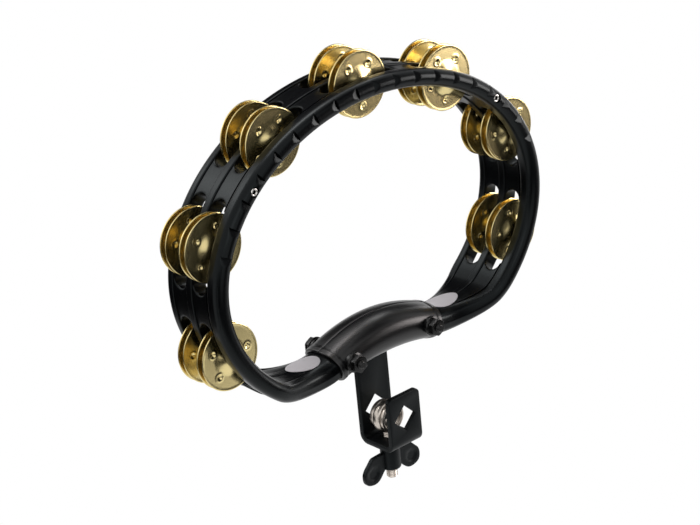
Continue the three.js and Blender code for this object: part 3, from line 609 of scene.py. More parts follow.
FRONT_ROUND = 6 * MM  # depth of the front rail's half-round face
CORNER_ROUND = 3.5 * MM
REAR_ROUND = 3.5 * MM
EDGE_ROUND = 0.9 * MM
NOTCHES_EACH_SIDE = 9
NOTCH_TILT = math.radians(15)
NOTCH_SECTIONS = [run * MM for run in (-0.12, 0, 0.25, 0.7, 1.4)]  # round a notch's steep side
RIVET_HEAD_RADIUS = 2.8 * MM
RIVET_HEAD = 0.8 * MM
RIVET_RADIUS = 2 * MM
RIVET_HOLE_RADIUS = 1.3 * MM
RIVET_RECESS_RADIUS = 3.4 * MM
RIVET_RECESS = 1.9 * MM
RIVET_BORE_RADIUS = 2.3 * MM
STATION_STEP = 1.6 * MM
SECTION_STEP = 1.2 * MM
WEB_LIP = 1.3 * MM
WEB_COLUMNS = 25


def refined(points):
    """Adds points along the long stretches of a closed outline."""
    out = []
    for (y0, z0), (y1, z1) in zip(points, points[1:] + points[:1]):
        pieces = max(1, math.ceil(math.hypot(y1 - y0, z1 - z0) / SECTION_STEP))
        for k in range(pieces):
            out.append((y0 + (y1 - y0) * k / pieces, z0 + (z1 - z0) * k / pieces))
    return np.array(out)


def front_section():
    """Depth and height of the front rail's outline: half-round in front, two round corners behind."""
    y, z = FRONT_BACK - CORNER_ROUND, RAIL_HALF_HEIGHT - CORNER_ROUND
    half_turn = arc(0, 0, 1, 90, 270, 41)
    half_round = [(FRONT_FACE + FRONT_ROUND * (1 + a), RAIL_HALF_HEIGHT * b) for a, b in half_turn]
    return refined(arc(y, z, CORNER_ROUND, 0, 90, 9) + half_round + arc(y, -z, CORNER_ROUND, 270, 360, 9))


def flat_rail_section(front, back, front_round, back_round):
    """The outline of a flat rail with round corners."""
    points = []
    ends = (back - back_round, back_round), (front + front_round, front_round)
    for start, (y, radius), side in zip((0, 90, 180, 270), (*ends, *ends[::-1]), (1, 1, -1, -1)):
        points += arc(y, side * (RAIL_HALF_HEIGHT - radius), radius, start, start + 90, 7)
    return refined(points)


def sweep_stations(extra=()):
    half = RING_LENGTH / 2
    count = math.ceil(2 * half / STATION_STEP)
    return np.unique(np.round(np.concatenate([np.linspace(-half, half, count), list(extra)]), 6))


def swept(name, section, stations, material, carve=None):
    """A section swept round the ring; carve changes the section at a station."""
    rows = []
    for station in stations:
        depth, outwards = section.T
        if carve:
            depth, outwards = carve(station, depth, outwards)
        depth, outwards = drawn_in(station, depth, outwards)
        rows.append(on_ring(np.full(len(depth), station), depth, outwards))
    return loft(name, np.array(rows), material, smooth_angle=40)


def notch_places():
    """The middle of each notch, and the side that it runs to from its steep end."""
    pitch = bpy.context.scene.tambourine_sizes.notch_pitch
    return [(n * pitch, -1 if n < 0 else 1) for n in range(-NOTCHES_EACH_SIDE, NOTCHES_EACH_SIDE + 1)]


def carve_notches(station, depth, outwards):
    """Cuts the front rail's face back to a notch's flat floor."""
    sizes = bpy.context.scene.tambourine_sizes
    ny, nz = -math.cos(NOTCH_TILT), math.sin(NOTCH_TILT)
    for place, side in notch_places():
        run = (station - place) * side + sizes.notch_length / 2
        if 0 <= run <= sizes.notch_length:
            floor = FRONT_ROUND - sizes.notch_depth * (1 - run / sizes.notch_length)
            reach = (depth - FRONT_FACE - FRONT_ROUND) * ny + outwards * nz
            over = np.clip(reach - floor, 0, None)
            return depth - over * ny, outwards - over * nz
    return depth, outwards


def notch_stations():
    """Extra sections at the steep and the shallow end of each notch."""
    length_along = bpy.context.scene.tambourine_sizes.notch_length
    extra = []
    for place, side in notch_places():
        start = place - side * length_along / 2
        extra += [start + side * run for run in (*NOTCH_SECTIONS, length_along)]
    return extra


def web(name, start, end, row_y, material, start_round, end_round):
    """The bar between two windows of a row, its ends hollow where a window ends round."""
    half = RAIL_HALF_HEIGHT - WEB_RECESS
    across = np.linspace(-1, 1, WEB_COLUMNS) * math.pi / 2
    depths = row_y + JINGLE_SLOT / 2 * np.sin(across)
    hollow = JINGLE_SLOT / 2 * np.cos(across)
    starts = start + hollow * start_round
    ends = end - hollow * end_round
    turn = np.radians(np.linspace(0, 90, 7))
    lips = list(zip(WEB_LIP * (1 - np.cos(turn)), half - WEB_LIP * (1 - np.sin(turn))))
    steps = max(6, int((end - start) / STATION_STEP))
    top = [(starts + reach, z) for reach, z in lips]
    for t in np.linspace(0, 1, steps)[1:-1]:
        top.append((starts + WEB_LIP + (ends - starts - 2 * WEB_LIP) * t, half))
    top += [(ends - reach, z) for reach, z in lips[::-1]]
    loop = []  # over the bar's top, down its end and back along its underside
    for along, z in top + [(along, -z) for along, z in top[::-1]]:
        depth, outwards = drawn_in(along, depths, np.full(WEB_COLUMNS, z))
        loop.append(on_ring(along, depth, outwards))
    total = len(loop)
    faces = []
    for i in range(total):
        a, b = i * WEB_COLUMNS, (i + 1) % total * WEB_COLUMNS
        faces += [(a + j, a + j + 1, b + j + 1, b + j) for j in range(WEB_COLUMNS - 1)]
    for j in (0, WEB_COLUMNS - 1):
        for i in range(total // 2 - 1):
            across_bar = (i, i + 1, total - 2 - i, total - 1 - i)
            faces.append(tuple(k * WEB_COLUMNS + j for k in across_bar))
    return new_piece(name, np.vstack(loop), faces, material, smooth_angle=40)


def webs(name, row_y, material):
    """The bars from the left end to the first window, between windows, and to the right end."""
    straight = WINDOW_HALF_LENGTH - JINGLE_SLOT / 2
    edges = [-RING_LENGTH / 2]
    for place in STATION_PLACES:
        edges += [place - straight, place + straight]
    edges.append(RING_LENGTH / 2)
    edges[1] -= LAST_WINDOW_EXTRA
    edges[-2] += LAST_WINDOW_EXTRA
    bars = []
    for n, (start, end) in enumerate(zip(edges[::2], edges[1::2])):
        bars.append(web(f"{name}_{n}", start, end, row_y, material, n > 0, n < STATIONS))
    return bars


def rivet_cutters(material):
    """Round cutters for each rivet's recess and bore."""
    front, step, far = FRONT_FACE - MM, FRONT_FACE + RIVET_RECESS, FRONT_BACK + 2 * MM
    recess = [(0, front), (RIVET_RECESS_RADIUS, front), (RIVET_RECESS_RADIUS, step)]
    profile = [*recess, (RIVET_BORE_RADIUS, step), (RIVET_BORE_RADIUS, far), (0, far)]
    cutters = []
    for place in RIVET_PLACES:
        cutter = lathe("rivet_cutter", profile, material, sides=48)
        cutters.append(moved(cutter, Matrix.Translation((place.x, 0, place.z))))
    return cutters


class TAMBOURINE_OT_ring(Operator):
    """Makes the three rails with their webs, and cuts the notches of the front rail"""

    bl_idname = "tambourine.ring"
    bl_label = "Ring"

    def execute(self, context):
        black = finish("ring_black")
        front = swept("front_rail", front_section(), sweep_stations(notch_stations()), black, carve_notches)
        shade(cut_away(front, rivet_cutters(black)), 40)
        dressed(front, "frame", "black_plastic", "front_ring")
        section = flat_rail_section(-MIDDLE_HALF, MIDDLE_HALF, EDGE_ROUND, EDGE_ROUND)
        middle_rail = swept("middle_rail", section, sweep_stations(), black)
        middle_piece = joined("middle_moulding", [middle_rail, *webs("front_web", -ROW_Y, black)])
        dressed(middle_piece, "frame", "black_plastic", "middle_ring")
        section = flat_rail_section(RAIL_FROM_MIDDLE, REAR_FACE, EDGE_ROUND, REAR_ROUND)
        rear_rail = swept("rear_rail", section, sweep_stations(), black)
        rear_piece = joined("rear_moulding", [rear_rail, *webs("rear_web", ROW_Y, black)])
        dressed(rear_piece, "frame", "black_plastic", "rear_ring")
        return {"FINISHED"}


# --- Jingles ---

JINGLE_RADIUS = 22.5 * MM
JINGLE_HOLE = 2 * MM
DENT_CIRCLE = 14.6 * MM
DENT_FLOOR = 0.15  # share of a dent's radius that is flat
BRIM = (0.55, 1.05, 1.55)  # where a dent's brim starts, is highest and ends, in radii of the dent
BRIM_HEIGHT = 0.22 * MM
RIM_CURL = 0.14 * MM
CURL_FROM = 0.9  # share of the jingle's radius where its rim starts to curl
EDGE_POWER = 60  # how late the sheet's edges turn round
ROUND_SPACING = 0.35  # share of the points that crowd towards the edges
PROFILE_STEPS = 74
TURN_STEPS = 144
FIRST_TURN, STATION_TURN, REAR_TURN = 0.5, 1.1, 0.4


def jingle_measures(turn):
    """What a jingle's tree is given, by the names of its inputs."""
    sizes = bpy.context.scene.tambourine_sizes
    return {
        "Radius": JINGLE_RADIUS,
        "Hole": JINGLE_HOLE,
        "Dome rise": sizes.dome_rise,
        "Dome radius": sizes.dome_radius,
        "Sheet": sizes.sheet,
        "Dents": float(sizes.dents),
        "Dent circle": DENT_CIRCLE,
        "Dent radius": sizes.dent_radius,
        "Dent depth": sizes.dent_depth,
        "Rim curl": -RIM_CURL,
        "Turn": turn,
    }


def jingle_tree():
    """A jingle about the Y axis at the origin, its dome towards -Y, with dents round it."""
    measures = [(label, "NodeSocketFloat") for label in jingle_measures(FIRST_TURN)]
    tree = Tree("jingle_sheet", [*measures, ("Finish", "NodeSocketMaterial")])
    calc, value = tree.math, tree.value
    add, less, times = (partial(calc, kind) for kind in ("ADD", "SUBTRACT", "MULTIPLY"))
    grid = tree.node("GeometryNodeMeshGrid")
    for axis, steps in (("X", PROFILE_STEPS), ("Y", TURN_STEPS)):
        grid.inputs["Size " + axis].default_value = 1
        grid.inputs["Vertices " + axis].default_value = steps + 1
    at = tree.node("GeometryNodeInputPosition")
    split = tree.node("ShaderNodeSeparateXYZ")
    tree.link(at.outputs[0], split.inputs[0])
    run = add(split.outputs["X"], 0.5)
    angle = times(add(split.outputs["Y"], 0.5), 2 * math.pi)

    # Out over one skin, round the rim and back over the other: across is 0 at the hole and 1 at the rim.
    fold = calc("ABSOLUTE", less(times(run, 2), 1))
    straight = less(1, fold)
    crowded = times(less(1, calc("COSINE", times(straight, math.pi))), 0.5)
    across = add(times(crowded, ROUND_SPACING), times(straight, 1 - ROUND_SPACING))
    skin = calc("SIGN", less(run, 0.5))
    radius = add(value("Hole"), times(across, less(value("Radius"), value("Hole"))))

    # The sheet's edges are round.
    edge = calc("ABSOLUTE", less(times(across, 2), 1))
    round_off = calc("SQRT", calc("MAXIMUM", less(1, calc("POWER", edge, EDGE_POWER)), 0))
    half = times(times(value("Sheet"), 0.5), round_off)

    dome_share = tree.smooth(radius, value("Hole"), value("Dome radius"))
    dome = times(less(dome_share, 1), value("Dome rise"))
    curl_share = tree.smooth(radius, times(value("Radius"), CURL_FROM), value("Radius"))
    curl = times(curl_share, value("Rim curl"))

    # The nearest dent's middle lies at the middle of each equal share of the turn.
    share = calc("DIVIDE", 2 * math.pi, value("Dents"))
    turned = add(angle, value("Turn"))
    off = less(calc("FLOORED_MODULO", turned, share), times(share, 0.5))
    circle = value("Dent circle")
    reach = add(times(radius, radius), times(circle, circle))
    cross = times(times(radius, circle), times(calc("COSINE", off), 2))
    far = calc("SQRT", calc("MAXIMUM", less(reach, cross), 0))
    far_share = calc("DIVIDE", far, value("Dent radius"))
    hollow = less(1, tree.smooth(far_share, DENT_FLOOR, 1.0))
    brim_start, brim_top, brim_end = BRIM
    falling = less(1, tree.smooth(far_share, brim_top, brim_end))
    brim = times(tree.smooth(far_share, brim_start, brim_top), falling)
    dent = less(times(hollow, value("Dent depth")), times(brim, BRIM_HEIGHT))

    height = add(add(dome, curl), add(dent, times(skin, half)))
    place = tree.node("ShaderNodeCombineXYZ")
    tree.link(times(radius, calc("SINE", angle)), place.inputs["X"])
    tree.link(height, place.inputs["Y"])
    tree.link(times(radius, calc("COSINE", angle)), place.inputs["Z"])
    put = tree.node("GeometryNodeSetPosition")
    tree.link(grid.outputs["Mesh"], put.inputs["Geometry"])
    tree.link(place.outputs[0], put.inputs["Position"])
    merge = tree.node("GeometryNodeMergeByDistance")
    merge.inputs["Distance"].default_value = MERGE_DISTANCE
    tree.link(put.outputs["Geometry"], merge.inputs["Geometry"])
    tree.end(merge.outputs["Geometry"])
    return tree


def jingle(node, pin, facing, turn, tree, brass):
    """One jingle on its own body, domed away from the other jingle of its pair."""
    low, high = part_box(node)
    half = bpy.context.scene.tambourine_sizes.sheet / 2
    rim_y = high.y - half if facing < 0 else low.y + half
    mesh = run_tree(node + "_sheet", tree, [(0, 0, 0)], jingle_measures(turn) | {"Finish": brass})
    about = Matrix.Rotation(math.pi if facing > 0 else 0, 4, "Z")
    mesh.transform(Matrix.Translation((pin.x, rim_y, pin.z)) @ about)
    obj = finish_piece(node + "_sheet", mesh, brass, smooth_angle=60)
    dressed(obj, node, "brass", node)


class TAMBOURINE_OT_jingles(Operator):
    """Makes each dented brass jingle on its own body"""

    bl_idname = "tambourine.jingles"
    bl_label = "Jingles"

    def execute(self, context):
        tree = jingle_tree()
        brass = finish("jingle_brass")
        for n, pin in enumerate(PIN_PLACES):
            for row in JINGLE_ROWS:
                turn = FIRST_TURN + STATION_TURN * n + (REAR_TURN if row == "rear" else 0)
                for half, facing in JINGLE_HALVES:
                    jingle(f"jingle_{n + 1}_{row}_{half}", pin, facing, turn, tree, brass)
        return {"FINISHED"}


class TAMBOURINE_OT_pins(Operator):
    """Puts the jingles' pins through the windows"""

    bl_idname = "tambourine.pins"
    bl_label = "Pins"

    def execute(self, context):
        low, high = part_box("jingle_pin_4")
        radius, half = (high.x - low.x) / 2, (high.y - low.y) / 2
        bevel = 0.3 * MM
        profile = [(0, -half), (radius - bevel, -half), (radius, -half + bevel)]
        profile += [(r, -y) for r, y in profile[::-1]]
        pin = lathe("pin_source", profile, finish("bolt_black"), sides=32)
        pins = repeated("jingle_pins", pin, PIN_PLACES, finish("bolt_black"))
        dressed(pins, "frame", "pin_black", *[f"jingle_pin_{n + 1}" for n in range(STATIONS)])
        return {"FINISHED"}


# --- Grip ---

SHELL_WALL = 2 * MM
SHELL_FIT = 0.45 * MM
SHELL_CROWN_EXTRA = 2.5 * MM
SHELL_ROUNDNESS = 2.3
SHELL_HALF_DEPTH = NECK_HALF_DEPTH + SHELL_FIT + SHELL_WALL
SHELL_HALF_HEIGHT = NECK_HALF_HEIGHT + SHELL_FIT + SHELL_WALL
SHELL_END_SECTIONS = [reach * MM for reach in (0.25, 0.6, 1.0, 1.5, 2.2, 3.0, 3.6, 4.4)]
END_ROUND = 0.8 * MM
PARTING_GAP = 0.15 * MM
PARTING_ROUND = 0.9 * MM
LIP = 0.4 * MM
LIP_LENGTH = 3.4 * MM
LIP_FADE = 1.2 * MM
BOLT_SEAT_RADIUS = 6.5 * MM
SEAT_PROUD = 1 * MM
SEAT_EDGE = 0.3 * MM


def superellipse(angle, half_depth, half_height, roundness):
    """Depth and height of an oval that is squarer the higher its roundness."""
    c, s = np.cos(angle), np.sin(angle)
    depth = half_depth * np.sign(c) * np.abs(c) ** (2 / roundness)
    return depth, half_height * np.sign(s) * np.abs(s) ** (2 / roundness)


def arch_point(along, depth, outwards):
    """A point of the grip: along its arch from the middle, in depth, and outwards from the centreline."""
    angle = along / GRIP_RADIUS
    r = GRIP_RADIUS + outwards
    return np.stack([r * np.sin(angle), depth + 0 * r, GRIP_CENTRE_Z + r * np.cos(angle)], -1)


def shell_skin(angles, to_end, share):
    """Depth and height of the grip's outer skin at a distance from its end and a share of its half length."""
    swell = SHELL_CROWN_EXTRA * math.cos(min(share, 1) * math.pi / 2)
    lip = LIP * float(np.clip(1 - (to_end - LIP_LENGTH) / LIP_FADE, 0, 1))
    drop = END_ROUND - math.sqrt(max(0, END_ROUND**2 - max(0, END_ROUND - to_end) ** 2))
    half_depth = SHELL_HALF_DEPTH + lip - drop
    half_height = SHELL_HALF_HEIGHT + swell + lip - drop
    depth, outwards = superellipse(angles, half_depth, half_height, SHELL_ROUNDNESS)
    # The parting edges are rounded off.
    near = np.clip(1 - np.abs(depth) / PARTING_ROUND, 0, 1)
    return depth, outwards - np.sign(outwards) * PARTING_ROUND * (1 - np.sqrt(1 - near**2))


def shell_half(name, side, material):
    """One half of the grip: its outer skin, its inner skin and the faces between them, with its seats."""
    half_length = GRIP_RADIUS * math.asin(GRIP_HALF_LENGTH / GRIP_RADIUS)
    near_ends = [end * (half_length - reach) for end in SIDES for reach in SHELL_END_SECTIONS]
    stations = np.concatenate([np.linspace(-half_length, half_length, 121), near_ends])
    limit = math.asin(PARTING_GAP / SHELL_HALF_DEPTH)
    angles = np.linspace(-math.pi / 2 + limit, math.pi / 2 - limit, 81)
    inside = NECK_HALF_DEPTH + SHELL_FIT, NECK_HALF_HEIGHT + SHELL_FIT, NECK_ROUNDNESS
    inner_depth, inner_out = superellipse(angles, *inside)
    rows = []
    for along in np.unique(np.round(stations, 6)):
        depth, outwards = shell_skin(angles, half_length - abs(along), abs(along) / half_length)
        outer = arch_point(along, NECK_Y + side * depth, outwards)
        inner = arch_point(along, NECK_Y + side * inner_depth, inner_out)
        rows.append(np.vstack([outer, inner[::-1]]))
    count, columns = len(rows), len(rows[0])
    faces = ring_faces(count, columns)
    for first in (0, (count - 1) * columns):
        for j in range(columns // 2 - 1):
            faces.append((first + j, first + j + 1, first + columns - 2 - j, first + columns - 1 - j))
    skin = new_piece(name + "_skin", np.vstack(rows), faces, material, smooth_angle=32)
    return joined(name, [skin, *bolt_seats(side, material)])


def bolt_seats(side, material):
    """Low round seats under the nuts or the bolt heads of one half."""
    inner, outer = side * (SHELL_HALF_DEPTH - SHELL_WALL / 2), side * (SHELL_HALF_DEPTH + SEAT_PROUD)
    rim = [(BOLT_SEAT_RADIUS, inner, 0), (BOLT_SEAT_RADIUS, outer, SEAT_EDGE)]
    profile = round_corners([(0, inner, 0), *rim, (0, outer, 0)])
    seats = []
    for place in BOLT_PLACES:
        seat = lathe("seat", profile, material)
        seats.append(moved(seat, Matrix.Translation((place.x, NECK_Y, place.z))))
    return seats


class TAMBOURINE_OT_grip(Operator):
    """Makes the two halves of the grip"""

    bl_idname = "tambourine.grip"
    bl_label = "Grip"

    def execute(self, context):
        black = finish("grip_black")
        dressed(shell_half("grip_half_front", -1, black), "frame", "gloss_plastic", "grip_shell_front")
        dressed(shell_half("grip_half_rear", 1, black), "frame", "gloss_plastic", "grip_shell_rear")
        return {"FINISHED"}


# --- Fasteners of the grip ---

HEX_RADIUS = 6.3 * MM
HEX_TOP = HEX_RADIUS * 0.9  # radius of the round face that the chamfer leaves
HEX_CHAMFER = 1.8 * MM
HEX_EDGE = 0.18 * MM
FLANGE_RADIUS = 7.1 * MM
FLANGE = 1.3 * MM
FLANGE_EDGE = 0.9 * MM
FLANGE_CONE = 0.7 * MM  # how far the flange's cone rises past the hexagon's foot
NUT_HEIGHT = 6 * MM
BOLT_HEAD = 5 * MM
BOLT_RADIUS = 3 * MM
BOLT_PITCH = 1 * MM
THREAD_DEPTH = 0.3  # share of the pitch
THREAD_SIDES = 36
THREAD_END = 0.8 * MM  # chamfer at the rod's far end
THREAD_START = 0.3 * MM  # and at its near end
THREAD_STEPS = 10  # sections to each turn


def flanged_hex(name, height, material):
    """A chamfered hexagon on a coned flange, its foot at y = 0 and its top at -Y."""
    neck = -FLANGE - FLANGE_CONE
    foot = [(0, 0, 0), (FLANGE_RADIUS, 0, 0.2 * MM), (FLANGE_RADIUS, -FLANGE_EDGE, 0.35 * MM)]
    flange_profile = round_corners([*foot, (HEX_RADIUS * 0.8, neck, 0), (0, neck, 0)])
    flange = lathe(name + "_flange", flange_profile, material, sides=72)
    corners = [math.radians(60 * k + 30) for k in range(6)]
    outline = [(HEX_RADIUS * math.cos(a), HEX_RADIUS * math.sin(a)) for a in corners]
    hexagon = prism(name + "_hexagon", outline, -height, -FLANGE, "Y", material)
    over, wide = -height - 0.1 * MM, HEX_TOP + HEX_CHAMFER
    cone = [(0, over), (HEX_TOP, over), (HEX_TOP, -height), (wide, MM - height), (wide, 0), (0, 0)]
    cut_away(hexagon, [lathe(name + "_cone", cone, material, sides=96)], operation="INTERSECT")
    bevelled(hexagon, HEX_EDGE, segments=2, degrees=20)
    return joined(name, [hexagon, flange])


def threaded(name, radius, pitch, from_y, to_y, material):
    """A rod with a thread, drawn along Y, its ends chamfered."""
    steps = max(4, int(abs(to_y - from_y) / pitch * THREAD_STEPS))
    turn = np.linspace(0, 2 * math.pi, THREAD_SIDES, endpoint=False)
    rows = []
    for k in range(steps + 1):
        y = from_y + (to_y - from_y) * k / steps
        phase = (y / pitch + turn / (2 * math.pi)) % 1
        cut = THREAD_DEPTH * pitch * (1 - np.abs(2 * phase - 1))
        taper = max(0, THREAD_END - abs(to_y - y)) + max(0, THREAD_START - abs(from_y - y))
        r = radius - cut * min(1, abs(y - from_y) / pitch) - taper
        rows.append(np.stack([r * np.sin(turn), np.full(THREAD_SIDES, y), r * np.cos(turn)], -1))
    return loft(name, np.array(rows), material, smooth_angle=30)


class TAMBOURINE_OT_fasteners(Operator):
    """Makes the grip's two bolts with their flange nuts"""

    bl_idname = "tambourine.fasteners"
    bl_label = "Bolts and nuts"

    def execute(self, context):
        black = finish("bolt_black")
        bolt_low, bolt_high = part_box("shell_bolt_right")
        centre = BOLT_PLACES[1]
        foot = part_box("flange_nut_right")[1].y - centre.y
        nut = moved(flanged_hex("nut_source", NUT_HEIGHT, black), Matrix.Translation((0, foot, 0)))
        nuts = repeated("flange_nuts", nut, BOLT_PLACES, black)
        dressed(nuts, "frame", "black_steel", "flange_nut_left", "flange_nut_right")
        head_foot = bolt_high.y - centre.y - BOLT_HEAD
        head = flanged_hex("bolt_head_source", BOLT_HEAD, black)
        head = moved(head, Matrix.Translation((0, head_foot, 0)) @ Matrix.Rotation(math.pi, 4, "Z"))
        top, end = foot - NUT_HEIGHT, bolt_low.y - centre.y
        shank = threaded("bolt_shank", BOLT_RADIUS, BOLT_PITCH, top + 0.2 * MM, end, black)
        stem = threaded("bolt_stem", BOLT_RADIUS, BOLT_PITCH, head_foot, top, black)
        bolts = repeated("shell_bolts", joined("bolt_source", [head, shank, stem]), BOLT_PLACES, black)
        dressed(bolts, "frame", "black_steel", "shell_bolt_left", "shell_bolt_right")
        return {"FINISHED"}


class TAMBOURINE_OT_rivets(Operator):
    """Puts a hollow rivet in each recess of the front rail"""

    bl_idname = "tambourine.rivets"
    bl_label = "Rivets"

    def execute(self, context):
        low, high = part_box("ring_rivet_right")
        rim, length_along = (RIVET_HEAD_RADIUS - RIVET_HOLE_RADIUS) / 2, high.y - low.y
        half_turn = arc(0, 0, 1, 180, 0, 13)
        bead = [(RIVET_HOLE_RADIUS + rim + rim * a, RIVET_HEAD * (1 - b)) for a, b in half_turn]
        stem = [(RIVET_RADIUS, RIVET_HEAD), (RIVET_RADIUS, length_along), (RIVET_HOLE_RADIUS, length_along)]
        rivet = lathe("rivet_source", bead + stem, finish("bright_nickel"), sides=48)
        places = [(place.x, low.y, place.z) for place in RIVET_PLACES]
        rivets = repeated("ring_rivets", rivet, places, finish("bright_nickel"))
        dressed(rivets, "frame", "nickel", "ring_rivet_left", "ring_rivet_right")
        return {"FINISHED"}


# --- Labels ---

LABEL_LENGTH = 30 * MM
LABEL_WIDTH = 18 * MM
LABEL_FULLNESS = 0.12
LABEL_FROM_GRIP = 5 * MM
LABEL_THICKNESS = 0.25 * MM
LABEL_LIFT = 0.25 * MM
LABEL_RINGS, LABEL_SIDES = 14, 96


def label(name, side, material):
    """A blank oval label bent over the neck's upper face, a little fuller towards the grip."""
    start = RING_LENGTH / 2 - (GRIP_HALF_LENGTH - RING_END) - LABEL_FROM_GRIP
    turn = np.linspace(0, 2 * math.pi, LABEL_SIDES, endpoint=False)
    shares = np.linspace(0.02, 1, LABEL_RINGS)
    layers = []
    for lift, order in ((LABEL_LIFT + LABEL_THICKNESS, shares), (LABEL_LIFT, shares[::-1])):
        for share in order:
            along = start - LABEL_LENGTH / 2 * (1 - share * np.cos(turn))
            across = share * LABEL_WIDTH / 2 * np.sin(turn) * (1 + LABEL_FULLNESS * np.cos(turn))
            blend = neck_share(along)
            height = neck_half_height(across / drawn_half_depth(blend))
            surface = RAIL_HALF_HEIGHT + (height - RAIL_HALF_HEIGHT) * blend
            layers.append(on_ring(side * along, NECK_Y + across, -(surface + lift)))
    return loft(name, np.array(layers), material, smooth_angle=50)


class TAMBOURINE_OT_labels(Operator):
    """Lays a blank label on each neck"""

    bl_idname = "tambourine.labels"
    bl_label = "Labels"

    def execute(self, context):
        for name, side in NAMED_SIDES:
            piece = label(f"label_{name}", side, finish("label_white"))
            dressed(piece, "frame", "label_white", f"blank_label_{name}")
        return {"FINISHED"}


# --- Clamp ---

STRAP = 4 * MM
STRAP_WIDTH = 28.5 * MM
STRAP_BEND = 3 * MM
STRAP_Y = 2 * MM
CLAMP_GAP = 25.4 * MM
CLAMP_FLOOR = -19 * MM
FRONT_LEG_TOP = 18 * MM
LEG_CORNER = 4 * MM
ROD_HOLE_SIDE = 13.9 * MM
PLATE_HALF_LENGTH = 42 * MM
PLATE_HALF_HEIGHT = 6 * MM
STEEL_EDGE = 0.6 * MM
SHANK_HOLE_RADIUS = 4.3 * MM
CUT_PAST = 2 * MM  # how far a cutter reaches past the strap


def strap_outline():
    """The strap from the side: down from the grip, along the clamp's floor and up the front leg."""
    rear, front = STRAP_Y, STRAP_Y - CLAMP_GAP
    inside, outside = STRAP_BEND, STRAP_BEND + STRAP
    bend_z = CLAMP_FLOOR + STRAP_BEND
    points = [(rear + STRAP, GRIP_CROWN), (rear, GRIP_CROWN)]
    points += arc(rear - inside, bend_z, inside, 0, -90)
    points += arc(front + inside, bend_z, inside, -90, -180)
    points += [(front, FRONT_LEG_TOP), (front - STRAP, FRONT_LEG_TOP)]
    points += arc(front + inside, bend_z, outside, 180, 270)
    points += arc(rear - inside, bend_z, outside, 270, 360)
    return points


def crossbar(material):
    """The strap's head inside the grip, bent with the grip's arch."""
    angle = math.asin(PLATE_HALF_LENGTH / GRIP_RADIUS)
    outline = []
    for height, way in ((PLATE_HALF_HEIGHT, 1), (-PLATE_HALF_HEIGHT, -1)):
        for a in np.linspace(-angle, angle, 25)[::way]:
            r = GRIP_RADIUS + height
            outline.append((r * math.sin(a), GRIP_CENTRE_Z + r * math.cos(a)))
    return prism("crossbar", outline, STRAP_Y + 0.01 * MM, STRAP_Y + STRAP - 0.01 * MM, "Y", material)


def corner_cutter(side, low, high, material):
    """What is taken off an upper corner of the front leg to round it."""
    x, z, reach = side * STRAP_WIDTH / 2, FRONT_LEG_TOP, LEG_CORNER
    turn = np.radians(np.linspace(0, 90, 10))
    outline = [(x - side * reach * (1 - math.sin(a)), z - reach * (1 - math.cos(a))) for a in turn]
    outline += [(x + side * MM, z - reach), (x + side * MM, z + MM), (x - side * reach, z + MM)]
    return prism("corner_cutter", outline, low, high, "Y", material)


class TAMBOURINE_OT_clamp(Operator):
    """Bends the steel strap with its square holes"""

    bl_idname = "tambourine.clamp"
    bl_label = "Clamp"

    def execute(self, context):
        black = finish("clamp_black")
        strap = prism("strap", strap_outline(), -STRAP_WIDTH / 2, STRAP_WIDTH / 2, "X", black)
        front = STRAP_Y - CLAMP_GAP - STRAP
        diagonal = ROD_HOLE_SIDE * math.sqrt(0.5)
        diamond = [(0, diagonal), (diagonal, 0), (0, -diagonal), (-diagonal, 0)]
        rod = prism("rod_cutter", diamond, front - CUT_PAST, STRAP_Y + STRAP + CUT_PAST, "Y", black)
        bore = [(0, -STRAP), (SHANK_HOLE_RADIUS, -STRAP), (SHANK_HOLE_RADIUS, STRAP), (0, STRAP)]
        hole = Matrix.Translation((0, EYE_Y, CLAMP_FLOOR - STRAP / 2)) @ Matrix.Rotation(math.pi / 2, 4, "X")
        shank = moved(lathe("shank_cutter", bore, black, 48), hole)
        corners = [corner_cutter(side, front - CUT_PAST, front + STRAP + CUT_PAST, black) for side in SIDES]
        cut_away(strap, [rod, shank, *corners])
        bevelled(strap, STEEL_EDGE)
        piece = joined("clamp_strap", [strap, bevelled(crossbar(black), STEEL_EDGE)])
        dressed(piece, "frame", "black_steel", "clamp_bracket")
        return {"FINISHED"}


# --- Eye bolt and wing nut ---

EYE_RADIUS = 12 * MM
EYE_HOLE_RADIUS = 7.9 * MM
EYE_HALF_WIDTH = 6.5 * MM
EYE_COLLAR_RADIUS = 10.2 * MM
EYE_COLLAR = 3 * MM
EYE_FRONT_COLLAR = 1.8 * MM
EYE_GROOVE_RADIUS = EYE_COLLAR_RADIUS - 0.25 * MM
BULGE_MIDDLE = -0.7 * MM
BULGE_HALF_WIDTH = 3.6 * MM
SHANK_RADIUS = 4 * MM


